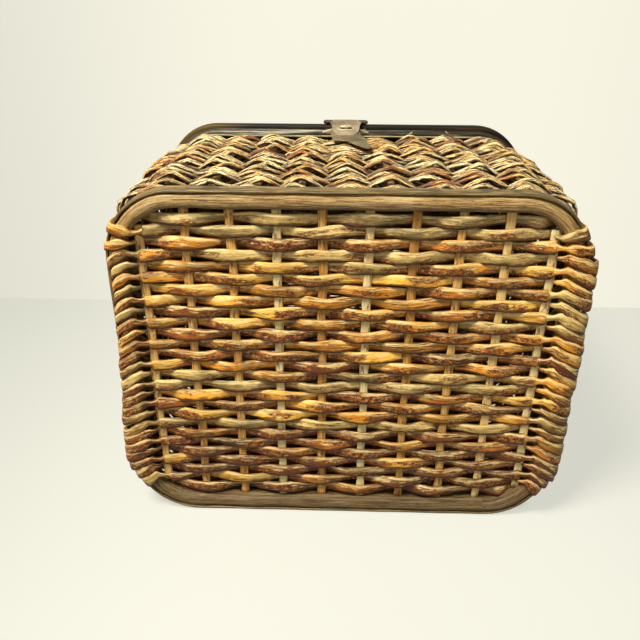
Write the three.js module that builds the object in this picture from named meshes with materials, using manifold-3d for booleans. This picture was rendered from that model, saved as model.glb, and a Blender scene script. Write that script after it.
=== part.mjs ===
// A lidded wicker basket with sheet-metal rails, a pair of hinges and a turn-button clasp.
// Millimetres, +Z up. The basket stands on its hinge side: the woven bottom faces -Y, the lid closes
// the mouth on the +Y side, and the clasp is on top. The origin is on the surface that it stands on,
// in the middle of the bottom rim's flat lower face.
import * as THREE from "three";
import { mergeVertices } from "three/addons/utils/BufferGeometryUtils.js";
import Module from "manifold-3d";

// Driving dimensions
const WIDTH = 390; // bottom rim, left to right
const HEIGHT = 320; // bottom rim, hinge side to clasp side
const BODY_DEPTH = 253; // face of the bottom hoop to the mouth
const CORNER_RADIUS = 58; // outside corners of the bottom rim
const CLEARANCE = 0.3; // between pieces that touch
const OVERRUN = 1; // of a cutting tool past the face it cuts
const CORNER_SLACK = 0.5; // spare room where a straight chord stands in for an arc

// Bottom hoop: a bent pole inside a flat outer band
const RIM_THICKNESS = 5.4;
const RIM_DEPTH = 10;
const RIM_BEVEL = 1;
const RIM_SETBACK = 3;
const HOOP_THICKNESS = 13;
const HOOP_DEPTH = 16;
const HOOP_BEVEL = 4.5;
const HOOP_GROOVE = 4; // depth of the groove that takes the stake ends

// Stakes and strands of the two woven panels
const STAKE_WIDTH = 6.2;
const STAKE_THICKNESS = 2.6;
const STAKE_GROOVE_WIDTH = 3.8;
const STRAND_WIDTH = 8.5;
const STRAND_THICKNESS = 4;
const ROW_PITCH = 10.4;
const WEAVE_SLACK = 0.9; // spare room for a strand's slope where it crosses a stake
const WRAP_LIFT = 0.4; // between a strand and the hoop that it wraps
const LOOP_REACH = 6; // how far a strand's end loop stands off the stake that it turns round
const BASE_STAKES = 10;
const LID_STAKES = 10;

// Wall: one band of rods that spirals round an odd number of stakes
const WALL_STAKES = 35;
const BAND_WIDTH = 12.5; // three thin rods side by side, also on the lid
const BAND_PITCH = 15.2;
const WALL_INSET = 7.5; // middle of the wall inside the rim's outline, at the bottom
const REED_WIDTH = 4;
const REED_THICKNESS = 4.6;
const REED_SET = 0.6; // how far the reed reaches into the stakes
const REED_BELOW_RAIL = 1.5;

// Sheet-metal rails round the mouth and the lid
const RAIL_OVERHANG = 2; // rail past the bottom rim at each side
const RAIL_THICKNESS = 16;
const RAIL_REVEAL = 5; // rail standing above the wicker
const RAIL_CORNER = 56;
const RAIL_BEVEL = 1.6;
const BODY_RAIL_DEPTH = 8;
const LID_RAIL_DEPTH = 11;
const CHANNEL_WIDTH = 4.4;
const CHANNEL_DEPTH = 4.5;
const LID_GROOVE = 5;

// Hinges
const HINGE_OFFSET = 110; // middle of each hinge from the middle of the basket
const HINGE_LENGTH = 40;
const HINGE_BARREL_RADIUS = 2;
const HINGE_BORE_RADIUS = 1.2;
const HINGE_PIN_HEAD = 1.2;
const LEAF_THICKNESS = 1;
const LEAF_MARGIN = 0.6; // leaf edge inside the rail's edge
const knuckleShares = [0.3, 0.4, 0.3]; // of the barrel's length: body, lid, body

// Rivets
const RIVET_RADIUS = 1;
const RIVET_HEAD_RADIUS = 2.1;
const RIVET_HEAD_HEIGHT = 0.8;
const RIVET_DEPTH = 6;
const HINGE_RIVET_OFFSET = 13;

// Clasp
const CLASP_BARREL_LENGTH = 45;
const CLASP_BARREL_RADIUS = 2.3;
const CLASP_BORE_RADIUS = 1.3;
const CLASP_KNUCKLE_LENGTH = 26.4;
const CLASP_LEAF_DROP = 13; // of the flange behind the lid's rail
const CLASP_RIVET_OFFSET = 15;
const SHEET_THICKNESS = 1.2;
const STRAP_WIDTH = 30;
const STRAP_LENGTH = 50;
const STRAP_SHOULDER = 7; // where the strap reaches its full width
const STRAP_TAPER = 30; // where it begins to narrow
const STRAP_TIP_WIDTH = 18;
const STRAP_TIP_RADIUS = 6;
const STRAP_LIFT = 0.5; // above the keeper
const SLOT_FROM_PIN = 29.3;
const BUTTON_LENGTH = 15;
const BUTTON_WIDTH = 6.4;
const BUTTON_HEIGHT = 3.4;
const BUTTON_BEVEL = 1;
const SLOT_CLEARANCE = 0.8;
const POST_RADIUS = 2;
const COLLAR_RADIUS = 3.2;
const COLLAR_THICKNESS = 0.8;
const KEEPER_WIDTH = 50;
const KEEPER_REST = 44; // from the mouth to where the keeper meets the wicker
const KEEPER_LENGTH = 97; // from its edge on the rail to the longer tail
const KEEPER_RIVET_OFFSET = 20.5;
// The keeper's outline from its middle and rail edge, as shares of its width and length
const earShares = { side: 0.5, foot: 0.075, neck: 0.24, neckEnd: 0.18 };
const tailShares = {
  waist: 0.21,
  waistAt: 0.42,
  long: 0.49,
  short: 0.28,
  shortAt: 0.68,
  notch: 0.06,
  notchAt: 0.62,
};

// Faceting
const CORNER_STEPS = 3;
const BARREL_SIDES = 10;
const RIVET_SIDES = 6;

// Places that follow from the sizes
const X_AXIS = new THREE.Vector3(1, 0, 0);
const Y_AXIS = new THREE.Vector3(0, 1, 0);
const Z_AXIS = new THREE.Vector3(0, 0, 1);
const weaveLift = (STAKE_THICKNESS + STRAND_THICKNESS) / 2 + CLEARANCE + WEAVE_SLACK;
const weaveHalf = weaveLift + STRAND_THICKNESS / 2;
const railFoot = 2 * HINGE_BARREL_RADIUS + CLEARANCE;
const rail = {
  halfX: WIDTH / 2 + RAIL_OVERHANG,
  halfZ: (HEIGHT - railFoot) / 2,
  radius: RAIL_CORNER,
  centreZ: (HEIGHT + railFoot) / 2,
};
const rim = { halfX: WIDTH / 2, halfZ: HEIGHT / 2, radius: CORNER_RADIUS, centreZ: HEIGHT / 2 };
const hoop = inside(rim, RIM_THICKNESS + CLEARANCE);
const bodyRailFront = BODY_DEPTH - BODY_RAIL_DEPTH;
const lidRailFront = BODY_DEPTH + 2 * CLEARANCE;
const lidRailBack = lidRailFront + LID_RAIL_DEPTH;
const baseMiddle = HOOP_DEPTH / 2;
const lidMiddle = lidRailFront + weaveHalf + CLEARANCE;
const wrapBack = HOOP_DEPTH + WRAP_LIFT + STRAND_THICKNESS + CLEARANCE;
const wallFront = { ...inside(rim, WALL_INSET), y: HOOP_DEPTH };
const wallMouth = { ...inside(rail, RAIL_REVEAL + weaveHalf), y: bodyRailFront };
const hingeAxis = { y: BODY_DEPTH + CLEARANCE, z: HINGE_BARREL_RADIUS };

const wasm = await Module();
wasm.setup();

const finishes = {
  pole: { color: 0x8d7650, roughness: 0.75, metalness: 0 },
  band: { color: 0xa08a63, roughness: 0.75, metalness: 0 },
  stake: { color: 0xcaa766, roughness: 0.7, metalness: 0 },
  rods: { color: 0x96652f, roughness: 0.5, metalness: 0 },
  wallRods: { color: 0xb08d57, roughness: 0.6, metalness: 0 },
  reed: { color: 0xb9a276, roughness: 0.7, metalness: 0 },
  bodyRail: { color: 0x6b665b, roughness: 0.5, metalness: 0.7 },
  lidRail: { color: 0x46382a, roughness: 0.4, metalness: 0.6 },
  clasp: { color: 0x8b8070, roughness: 0.5, metalness: 0.7 },
  steel: { color: 0x55504a, roughness: 0.5, metalness: 0.8 },
};
const basket = new THREE.Group();

function add(name, geometry, finish, parent = basket) {
  const mesh = new THREE.Mesh(geometry, new THREE.MeshStandardMaterial(finishes[finish]));
  mesh.name = name;
  parent.add(mesh);
  return mesh;
}

// An outline's sizes moved inwards by a distance
function inside(sizes, distance) {
  return {
    ...sizes,
    halfX: sizes.halfX - distance,
    halfZ: sizes.halfZ - distance,
    radius: sizes.radius - distance,
  };
}

// Rounded rectangle round the origin, anticlockwise from its lower right
function outline({ halfX, halfZ, radius }, Kind = THREE.Shape) {
  const path = new Kind();
  const x = halfX - radius;
  const z = halfZ - radius;
  path.moveTo(x, -halfZ);
  path.absarc(x, -z, radius, -Math.PI / 2, 0, false);
  path.absarc(x, z, radius, 0, Math.PI / 2, false);
  path.absarc(-x, z, radius, Math.PI / 2, Math.PI, false);
  path.absarc(-x, -z, radius, Math.PI, Math.PI * 1.5, false);
  path.closePath();
  return path;
}

// Half the height of an outline at a distance x from its middle, or half its width at a height
function halfSpan({ across, along, radius }, distance) {
  const past = Math.max(0, Math.abs(distance) - (across - radius));
  return along - radius + Math.sqrt(Math.max(0, radius ** 2 - past ** 2));
}
const halfHeightAt = ({ halfX, halfZ, radius }, x) => halfSpan({ across: halfX, along: halfZ, radius }, x);
const halfWidthAt = ({ halfX, halfZ, radius }, z) => halfSpan({ across: halfZ, along: halfX, radius }, z);

// Upright ring of one thickness, its front face at y
function ring(sizes, thickness, y, depth, bevel = 0) {
  const shape = outline(sizes);
  shape.holes.push(outline(inside(sizes, thickness), THREE.Path));
  const geometry = new THREE.ExtrudeGeometry(shape, {
    depth: depth - 2 * bevel,
    bevelEnabled: bevel > 0,
    bevelThickness: bevel,
    bevelSize: bevel,
    bevelOffset: -bevel,
    bevelSegments: 1,
    curveSegments: CORNER_STEPS,
  });
  geometry.rotateX(Math.PI / 2);
  return geometry.translate(0, y + depth - bevel, sizes.centreZ);
}

// Box between two corners
function block(low, high) {
  const size = high.map((value, axis) => value - low[axis]);
  const geometry = new THREE.BoxGeometry(...size);
  return geometry.translate(...low.map((value, axis) => value + size[axis] / 2));
}

// Round rod along an axis, its middle at a point
function rod(radius, length, axis, middle, sides = BARREL_SIDES) {
  const geometry = new THREE.CylinderGeometry(radius, radius, length, sides);
  const turn = new THREE.Quaternion().setFromUnitVectors(Y_AXIS, axis);
  return geometry.applyQuaternion(turn).translate(...middle);
}

function toSolid(geometry) {
  const bare = geometry.clone();
  bare.deleteAttribute("normal");
  bare.deleteAttribute("uv");
  const merged = mergeVertices(bare);
  return new wasm.Manifold(
    new wasm.Mesh({
      numProp: 3,
      vertProperties: new Float32Array(merged.attributes.position.array),
      triVerts: new Uint32Array(merged.index.array),
    }),
  );
}

function toGeometry(solid) {
  const { vertProperties, triVerts } = solid.getMesh();
  const geometry = new THREE.BufferGeometry();
  geometry.setAttribute("position", new THREE.BufferAttribute(vertProperties, 3));
  geometry.setIndex(new THREE.BufferAttribute(triVerts, 1));
  const flat = geometry.toNonIndexed();
  flat.computeVertexNormals();
  return flat;
}

const joined = (...pieces) => toGeometry(pieces.map(toSolid).reduce((whole, piece) => whole.add(piece)));
const shared = (first, second) => toGeometry(toSolid(first).intersect(toSolid(second)));
function cut(geometry, ...tools) {
  return toGeometry(tools.map(toSolid).reduce((whole, tool) => whole.subtract(tool), toSolid(geometry)));
}

// Flat strand along a path: a straight extruded bar whose cross-sections are moved onto the stations
function strand(path, width, thickness, widthAxis) {
  const section = new THREE.Shape();
  section.moveTo(-thickness / 2, -width / 2);
  section.lineTo(thickness / 2, -width / 2);
  section.lineTo(thickness / 2, width / 2);
  section.lineTo(-thickness / 2, width / 2);
  section.closePath();
  const steps = path.length - 1;
  const bar = new THREE.ExtrudeGeometry(section, { depth: steps, steps, bevelEnabled: false });
  const sides = path.map((point, n) => {
    const ahead = path[Math.min(n + 1, steps)].clone().sub(path[Math.max(n - 1, 0)]);
    return widthAxis.clone().cross(ahead).normalize();
  });
  const corners = bar.getAttribute("position");
  for (let n = 0; n < corners.count; n += 1) {
    const station = Math.round(corners.getZ(n));
    const corner = path[station].clone();
    corner.addScaledVector(sides[station], corners.getX(n));
    corner.addScaledVector(widthAxis, corners.getY(n));
    corners.setXYZ(n, ...corner);
  }
  return bar;
}

// Upright stakes of a panel, seated in the groove of the ring round them
function addPanelStakes(prefix, places, opening, groove, middle) {
  const seat = inside(opening, -groove);
  places.forEach((x, n) => {
    const reach = halfHeightAt(seat, Math.abs(x) + STAKE_WIDTH / 2) - CLEARANCE - CORNER_SLACK;
    const ends = [-reach, reach].map((z) => new THREE.Vector3(x, middle, opening.centreZ + z));
    const geometry = strand(ends, STAKE_WIDTH, STAKE_THICKNESS, X_AXIS);
    add(prefix + String(n + 1).padStart(2, "0"), geometry, "stake");
  });
}

// Heights of a panel's rows, spaced evenly about its middle
function rowHeights(opening, width, pitch) {
  const room = 2 * (opening.halfZ - CLEARANCE - CORNER_SLACK) - width;
  const rows = Math.floor(room / pitch) + 1;
  return Array.from({ length: rows }, (_, r) => opening.centreZ + (r - (rows - 1) / 2) * pitch);
}

// One strand that weaves a whole panel to and fro. At the end of each row it turns round the last stake
// that it can reach, or wraps round the hoop where that runs straight.
function panelPath({ places, opening, middle, width, pitch, wrapped }) {
  const rows = rowHeights(opening, width, pitch);
  const last = places.length - 1;
  const straight = opening.halfZ - opening.radius;
  const turnRoom = STAKE_WIDTH / 2 + LOOP_REACH + STRAND_THICKNESS / 2 + CLEARANCE + CORNER_SLACK;
  const fromMiddle = (z) => Math.abs(z - opening.centreZ) + width / 2;
  const wraps = (z, next) => wrapped && Math.max(fromMiddle(z), fromMiddle(next)) <= straight;
  const path = [];
  const push = (x, y, z) => path.push(new THREE.Vector3(x, y, z));

  // The outermost stake, counted from the nearer side, that two rows can both turn round
  function turnStake(z, next) {
    const room = halfWidthAt(opening, Math.max(fromMiddle(z), fromMiddle(next))) - turnRoom;
    const fits = places.findIndex((x) => Math.abs(x) <= room);
    return wraps(z, next) ? 0 : fits;
  }

  rows.forEach((z, r) => {
    const way = r % 2 === 0 ? 1 : -1;
    const before = rows[Math.max(r - 1, 0)];
    const after = rows[Math.min(r + 1, rows.length - 1)];
    const count = last - turnStake(z, before) - turnStake(z, after);
    const first = way > 0 ? turnStake(z, before) : last - turnStake(z, before);
    for (let n = 0; n <= count; n += 1) {
      const stake = first + n * way;
      const face = (stake + r) % 2 === 0 ? 1 : -1;
      const y = middle + face * weaveLift;
      if (n === 0 && r > 0) push(places[stake] - (way * STAKE_WIDTH) / 2, y, z);
      push(places[stake], y, z);
      if (n === count && z !== after) push(places[stake] + (way * STAKE_WIDTH) / 2, y, z);
    }
    if (z === after) return;
    if (wraps(z, after)) hoopWrap(opening, way, z, after).forEach((point) => path.push(point));
    else push(places[first + count * way] + way * (STAKE_WIDTH / 2 + LOOP_REACH), middle, (z + after) / 2);
  });
  return path;
}

// Stations of a strand that passes in front of the hoop, round its outside and back behind it
function hoopWrap(opening, way, z, next) {
  const off = WRAP_LIFT + STRAND_THICKNESS / 2;
  const outer = rim.halfX + off + CLEARANCE;
  const shoulder = rim.halfX - RIM_SETBACK;
  const stations = [
    [opening.halfX, -off],
    [shoulder, -off],
    [outer, RIM_SETBACK / 2],
    [outer, HOOP_DEPTH - RIM_SETBACK / 2],
    [shoulder, HOOP_DEPTH + off],
    [opening.halfX, HOOP_DEPTH + off],
  ];
  return stations.map(([x, y], n) => {
    const height = THREE.MathUtils.lerp(z, next, (n + 1) / (stations.length + 1));
    return new THREE.Vector3(way * x, y, height);
  });
}

// Places of a panel's stakes, evenly spaced about the middle
const evenly = (count, outermost) =>
  Array.from({ length: count }, (_, n) => outermost * ((2 * n) / (count - 1) - 1));

// A point on the wall at a share of the way round and a depth y, moved outwards by an offset
function wallPoint(share, y, offset) {
  const depthShare = (y - wallFront.y) / (wallMouth.y - wallFront.y);
  const between = (key) => THREE.MathUtils.lerp(wallFront[key], wallMouth[key], depthShare);
  const sizes = { halfX: between("halfX"), halfZ: between("halfZ"), radius: between("radius") };
  const course = outline(sizes, THREE.Path);
  const point = course.getPoint(share);
  const tangent = course.getTangent(share);
  return new THREE.Vector3(
    point.x + tangent.y * offset,
    y,
    between("centreZ") + point.y - tangent.x * offset,
  );
}
const wallTopAt = (y) => {
  const depthShare = (y - wallFront.y) / (wallMouth.y - wallFront.y);
  const top = ({ centreZ, halfZ }) => centreZ + halfZ + weaveHalf;
  return THREE.MathUtils.lerp(top(wallFront), top(wallMouth), depthShare);
};
const wallStakeShare = (n) => (((n % WALL_STAKES) + WALL_STAKES) % WALL_STAKES + 0.5) / WALL_STAKES;

// The way that the wall looks at a share of the way round
const wallFacing = (share, y) => wallPoint(share, y, 1).sub(wallPoint(share, y, 0));

// Extra lift that lets a strand's straight runs clear the edges of a stake that it passes outside,
// most of all where the wall turns a corner
function cornerBulge(n, y) {
  const innerFace = STRAND_THICKNESS / 2;
  const reach = STAKE_WIDTH / 2 + CLEARANCE;
  const share = wallStakeShare(n);
  const crest = wallPoint(share, y, weaveLift - innerFace);
  const facing = wallFacing(share, y);
  const lifts = [n - 1, n + 1].map((beside) => {
    const run = wallPoint(wallStakeShare(beside), y, -weaveLift - innerFace).sub(crest);
    const drop = -run.dot(facing);
    const along = Math.sqrt(run.lengthSq() - drop ** 2);
    return (reach * drop - WEAVE_SLACK * along) / (along - reach);
  });
  return Math.max(0, ...lifts);
}

// Bottom: rim band, hoop, stakes and weave
function addBottom() {
  add("base_rim", ring(rim, RIM_THICKNESS, RIM_SETBACK, RIM_DEPTH, RIM_BEVEL), "band");
  const opening = inside(hoop, HOOP_THICKNESS);
  const grooveFront = baseMiddle - STAKE_GROOVE_WIDTH / 2;
  const groove = ring(inside(opening, -HOOP_GROOVE), HOOP_GROOVE + OVERRUN, grooveFront, STAKE_GROOVE_WIDTH);
  add("base_hoop", cut(ring(hoop, HOOP_THICKNESS, 0, HOOP_DEPTH, HOOP_BEVEL), groove), "pole");
  const spacing = (2 * opening.halfX) / (BASE_STAKES - 1 / 2);
  const places = evenly(BASE_STAKES, (spacing * (BASE_STAKES - 1)) / 2);
  addPanelStakes("base_stake_", places, opening, HOOP_GROOVE, baseMiddle);
  const path = panelPath({
    places,
    opening,
    middle: baseMiddle,
    width: STRAND_WIDTH,
    pitch: ROW_PITCH,
    wrapped: true,
  });
  add("base_weave", strand(path, STRAND_WIDTH, STRAND_THICKNESS, Z_AXIS), "rods");
}

// Wall: a crown of stakes under a reed, and the band that spirals round them
function addWall() {
  const reedBack = bodyRailFront - REED_BELOW_RAIL;
  const reedFront = reedBack - REED_WIDTH;
  const reedOutline = inside({ ...wallMouth }, STAKE_THICKNESS / 2 - REED_SET - REED_THICKNESS);
  const pieces = [ring(reedOutline, REED_THICKNESS, reedFront, REED_WIDTH)];
  for (let n = 0; n < WALL_STAKES; n += 1) {
    const share = wallStakeShare(n);
    const foot = wallPoint(share, wallFront.y, 0);
    const besideWraps = Math.abs(foot.z - rim.centreZ) < rim.halfZ - rim.radius + STRAND_WIDTH;
    const start = wallPoint(share, besideWraps ? wrapBack : HOOP_DEPTH + CLEARANCE, 0);
    const end = wallPoint(share, bodyRailFront + CHANNEL_DEPTH - CLEARANCE, 0);
    const across = wallFacing(share, wallMouth.y).cross(Y_AXIS).normalize();
    pieces.push(strand([start, end], STAKE_WIDTH, STAKE_THICKNESS, across));
  }
  add("wall_stakes", joined(...pieces), "stake");

  const low = wrapBack + BAND_WIDTH / 2 + CLEARANCE;
  const high = reedFront - BAND_WIDTH / 2 - CLEARANCE;
  const turns = Math.floor((high - low) / BAND_PITCH);
  const path = [];
  for (let n = 0; n <= turns * WALL_STAKES; n += 1) {
    const y = THREE.MathUtils.lerp(low, high, n / (turns * WALL_STAKES));
    const lift = n % 2 === 0 ? weaveLift + cornerBulge(n, y) : -weaveLift;
    path.push(wallPoint(wallStakeShare(n), y, lift));
  }
  add("wall_weave", strand(path, BAND_WIDTH, STRAND_THICKNESS, Y_AXIS), "wallRods");
}

// Rivet: a domed head on a shank along -Z, the head's flat at the origin
function rivetGeometry() {
  const profile = [
    [0, RIVET_HEAD_HEIGHT],
    [RIVET_HEAD_RADIUS, 0],
    [RIVET_RADIUS, 0],
    [RIVET_RADIUS, -RIVET_DEPTH],
    [0, -RIVET_DEPTH],
  ].map(([x, y]) => new THREE.Vector2(x, y));
  return new THREE.LatheGeometry(profile.reverse(), RIVET_SIDES).rotateX(Math.PI / 2);
}

// A rivet seated on a sheet: its place on the sheet's outer face and the way that the face looks
function addRivet(name, place, outward, finish) {
  const rivet = add(name, rivetGeometry(), finish);
  rivet.quaternion.setFromUnitVectors(Z_AXIS, outward);
  rivet.position.copy(place).addScaledVector(outward, CLEARANCE);
}
const rivetHole = (place, outward) =>
  rod(
    RIVET_RADIUS + CLEARANCE,
    2 * (RIVET_DEPTH + CLEARANCE),
    outward,
    place.toArray(),
    RIVET_SIDES,
  );

// Places of the rivets, each on the outer face of the sheet that it holds
const down = Z_AXIS.clone().negate();
const leafMiddles = {
  body: (bodyRailFront + hingeAxis.y - HINGE_BARREL_RADIUS) / 2,
  lid: (hingeAxis.y + HINGE_BARREL_RADIUS + lidRailBack) / 2,
};
const hingeRivets = [-1, 1].flatMap((side) =>
  [-1, 1].flatMap((end) =>
    ["body", "lid"].map((on) => {
      const x = side * HINGE_OFFSET + end * HINGE_RIVET_OFFSET;
      const z = 2 * HINGE_BARREL_RADIUS - LEAF_THICKNESS;
      const hinge = side < 0 ? "hinge_left_" : "hinge_right_";
      const number = end < 0 ? "1" : "2";
      return { name: hinge + on + "_rivet_" + number, on, place: new THREE.Vector3(x, leafMiddles[on], z) };
    }),
  ),
);
const claspAxis = { y: (lidRailFront + lidRailBack) / 2, z: HEIGHT + CLEARANCE + CLASP_BARREL_RADIUS };
const flangeOuter = lidRailBack + CLEARANCE + SHEET_THICKNESS;
const claspRivets = [-1, 1].map(
  (end) => new THREE.Vector3(end * CLASP_RIVET_OFFSET, flangeOuter, HEIGHT - CLASP_LEAF_DROP / 2),
);
const keeperRivets = [-1, 1].map(
  (end) =>
    new THREE.Vector3(
      end * KEEPER_RIVET_OFFSET,
      BODY_DEPTH - BODY_RAIL_DEPTH / 2,
      HEIGHT + CLEARANCE + SHEET_THICKNESS,
    ),
);

// Rails: the body's channel takes the wall stakes, and the lid's groove takes the lid stakes
function addRails() {
  const channel = inside(rail, RAIL_REVEAL + weaveHalf - CHANNEL_WIDTH / 2);
  const bodyHoles = hingeRivets.filter(({ on }) => on === "body").map(({ place }) => rivetHole(place, down));
  const keeperHoles = keeperRivets.map((place) => rivetHole(place, Z_AXIS));
  const bodyRail = cut(
    ring(rail, RAIL_THICKNESS, bodyRailFront, BODY_RAIL_DEPTH, RAIL_BEVEL),
    ring(channel, CHANNEL_WIDTH, bodyRailFront - OVERRUN, CHANNEL_DEPTH + OVERRUN),
    ...bodyHoles,
    ...keeperHoles,
  );
  add("body_frame", bodyRail, "bodyRail");

  const opening = inside(rail, RAIL_THICKNESS);
  const grooveFront = lidMiddle - STAKE_GROOVE_WIDTH / 2;
  const lidHoles = hingeRivets.filter(({ on }) => on === "lid").map(({ place }) => rivetHole(place, down));
  const claspHoles = claspRivets.map((place) => rivetHole(place, Y_AXIS));
  const lidRail = cut(
    ring(rail, RAIL_THICKNESS, lidRailFront, LID_RAIL_DEPTH, RAIL_BEVEL),
    ring(inside(opening, -LID_GROOVE), LID_GROOVE + OVERRUN, grooveFront, STAKE_GROOVE_WIDTH),
    ...lidHoles,
    ...claspHoles,
  );
  add("lid_frame", lidRail, "lidRail");
}

// Lid panel inside its rail
function addLid() {
  const opening = inside(rail, RAIL_THICKNESS);
  const edge = STAKE_WIDTH / 2 + LOOP_REACH + STRAND_THICKNESS / 2 + CLEARANCE + CORNER_SLACK;
  const places = evenly(LID_STAKES, opening.halfX - edge);
  addPanelStakes("lid_stake_", places, opening, LID_GROOVE, lidMiddle);
  const path = panelPath({
    places,
    opening,
    middle: lidMiddle,
    width: BAND_WIDTH,
    pitch: BAND_PITCH,
    wrapped: false,
  });
  add("lid_weave", strand(path, BAND_WIDTH, STRAND_THICKNESS, Z_AXIS), "wallRods");
}

// Hinge leaf round an axis at the origin along X: a plate on the +Y side, level with the barrel's top
function hingeLeaf(knuckles, reach) {
  const half = HINGE_LENGTH / 2;
  const low = HINGE_BARREL_RADIUS - LEAF_THICKNESS;
  const clear = HINGE_BARREL_RADIUS + CLEARANCE;
  const plate = block([-half, clear, low], [half, reach, HINGE_BARREL_RADIUS]);
  const rolls = knuckles.flatMap(([from, to]) => [
    block([from, 0, low], [to, clear + OVERRUN, HINGE_BARREL_RADIUS]),
    rod(HINGE_BARREL_RADIUS, to - from, X_AXIS, [(from + to) / 2, 0, 0]),
  ]);
  const bore = rod(HINGE_BORE_RADIUS, HINGE_LENGTH + 2 * OVERRUN, X_AXIS, [0, 0, 0]);
  return cut(joined(plate, ...rolls), bore);
}

// Where each knuckle of a hinge begins and ends along its barrel
function knuckleSpans() {
  let from = -HINGE_LENGTH / 2;
  return knuckleShares.map((share) => {
    const to = from + share * HINGE_LENGTH;
    const span = [from + CLEARANCE / 2, to - CLEARANCE / 2];
    from = to;
    return span;
  });
}

function addHinge(name, side) {
  const hinge = new THREE.Group();
  hinge.position.set(side * HINGE_OFFSET, hingeAxis.y, hingeAxis.z);
  basket.add(hinge);
  const [near, middle, far] = knuckleSpans();
  const holes = (on, turn) =>
    hingeRivets
      .filter((rivet) => rivet.on === on && rivet.place.x * side > 0)
      .map(({ place }) => rivetHole(place.clone().sub(hinge.position).multiply(turn), Z_AXIS));
  const bodyReach = hingeAxis.y - bodyRailFront - LEAF_MARGIN;
  const lidReach = lidRailBack - hingeAxis.y - LEAF_MARGIN;
  const bodyLeaf = cut(hingeLeaf([near, far], bodyReach), ...holes("body", new THREE.Vector3(-1, -1, 1)));
  const lidLeaf = cut(hingeLeaf([middle], lidReach), ...holes("lid", new THREE.Vector3(1, 1, 1)));
  add(name + "_body_leaf", bodyLeaf, "steel", hinge).rotation.z = Math.PI;
  add(name + "_lid_leaf", lidLeaf, "steel", hinge);
  const pinRadius = HINGE_BORE_RADIUS - CLEARANCE;
  const pin = rod(pinRadius, HINGE_LENGTH + 2 * HINGE_PIN_HEAD, X_AXIS, [0, 0, 0], RIVET_SIDES);
  add(name + "_pin", pin, "steel", hinge);
}

// The keeper's ramp, from the edge of the body's rail down to the wicker
const keeperRest = BODY_DEPTH - KEEPER_REST;
const rampDrop = HEIGHT - wallTopAt(keeperRest);
const rampAngle = Math.atan2(rampDrop, bodyRailFront - keeperRest);
const keeperTop = (() => {
  const y = bodyRailFront - claspAxis.y;
  const z = HEIGHT + CLEARANCE + SHEET_THICKNESS - claspAxis.z;
  return z * Math.cos(rampAngle) - y * Math.sin(rampAngle);
})();
const strapUnder = keeperTop + STRAP_LIFT;
const strapTop = strapUnder + SHEET_THICKNESS;

// Oval with round ends along X, round the origin
function oval(length, width, Kind = THREE.Shape) {
  const path = new Kind();
  const end = (length - width) / 2;
  path.moveTo(-end, -width / 2);
  path.absarc(end, 0, width / 2, -Math.PI / 2, Math.PI / 2, false);
  path.absarc(-end, 0, width / 2, Math.PI / 2, Math.PI * 1.5, false);
  path.closePath();
  return path;
}

function plate(shape, z, thickness) {
  const flat = { depth: thickness, bevelEnabled: false, curveSegments: CORNER_STEPS };
  return new THREE.ExtrudeGeometry(shape, flat).translate(0, 0, z);
}

// Fixed half of the clasp: two knuckles on a sheet that hooks over the lid's rail
function claspLeaf() {
  const half = CLASP_BARREL_LENGTH / 2;
  const inner = CLASP_KNUCKLE_LENGTH / 2 + CLEARANCE;
  const low = -CLASP_BARREL_RADIUS;
  const back = lidRailBack + CLEARANCE - claspAxis.y;
  const top = block([-half, 0, low], [half, back + SHEET_THICKNESS, low + SHEET_THICKNESS]);
  const flange = block(
    [-half, back, HEIGHT - CLASP_LEAF_DROP - claspAxis.z],
    [half, back + SHEET_THICKNESS, low + SHEET_THICKNESS],
  );
  const knuckles = [-1, 1].map((side) =>
    rod(CLASP_BARREL_RADIUS, half - inner, X_AXIS, [(side * (half + inner)) / 2, 0, 0]),
  );
  const gap = rod(CLASP_BARREL_RADIUS + CLEARANCE, 2 * inner, X_AXIS, [0, 0, 0]);
  const bore = rod(CLASP_BORE_RADIUS, CLASP_BARREL_LENGTH + 2 * OVERRUN, X_AXIS, [0, 0, 0]);
  const holes = claspRivets.map(({ x, y, z }) =>
    rivetHole(new THREE.Vector3(x, y - claspAxis.y, z - claspAxis.z), Y_AXIS),
  );
  return cut(joined(top, flange, ...knuckles), gap, bore, ...holes);
}

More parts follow.
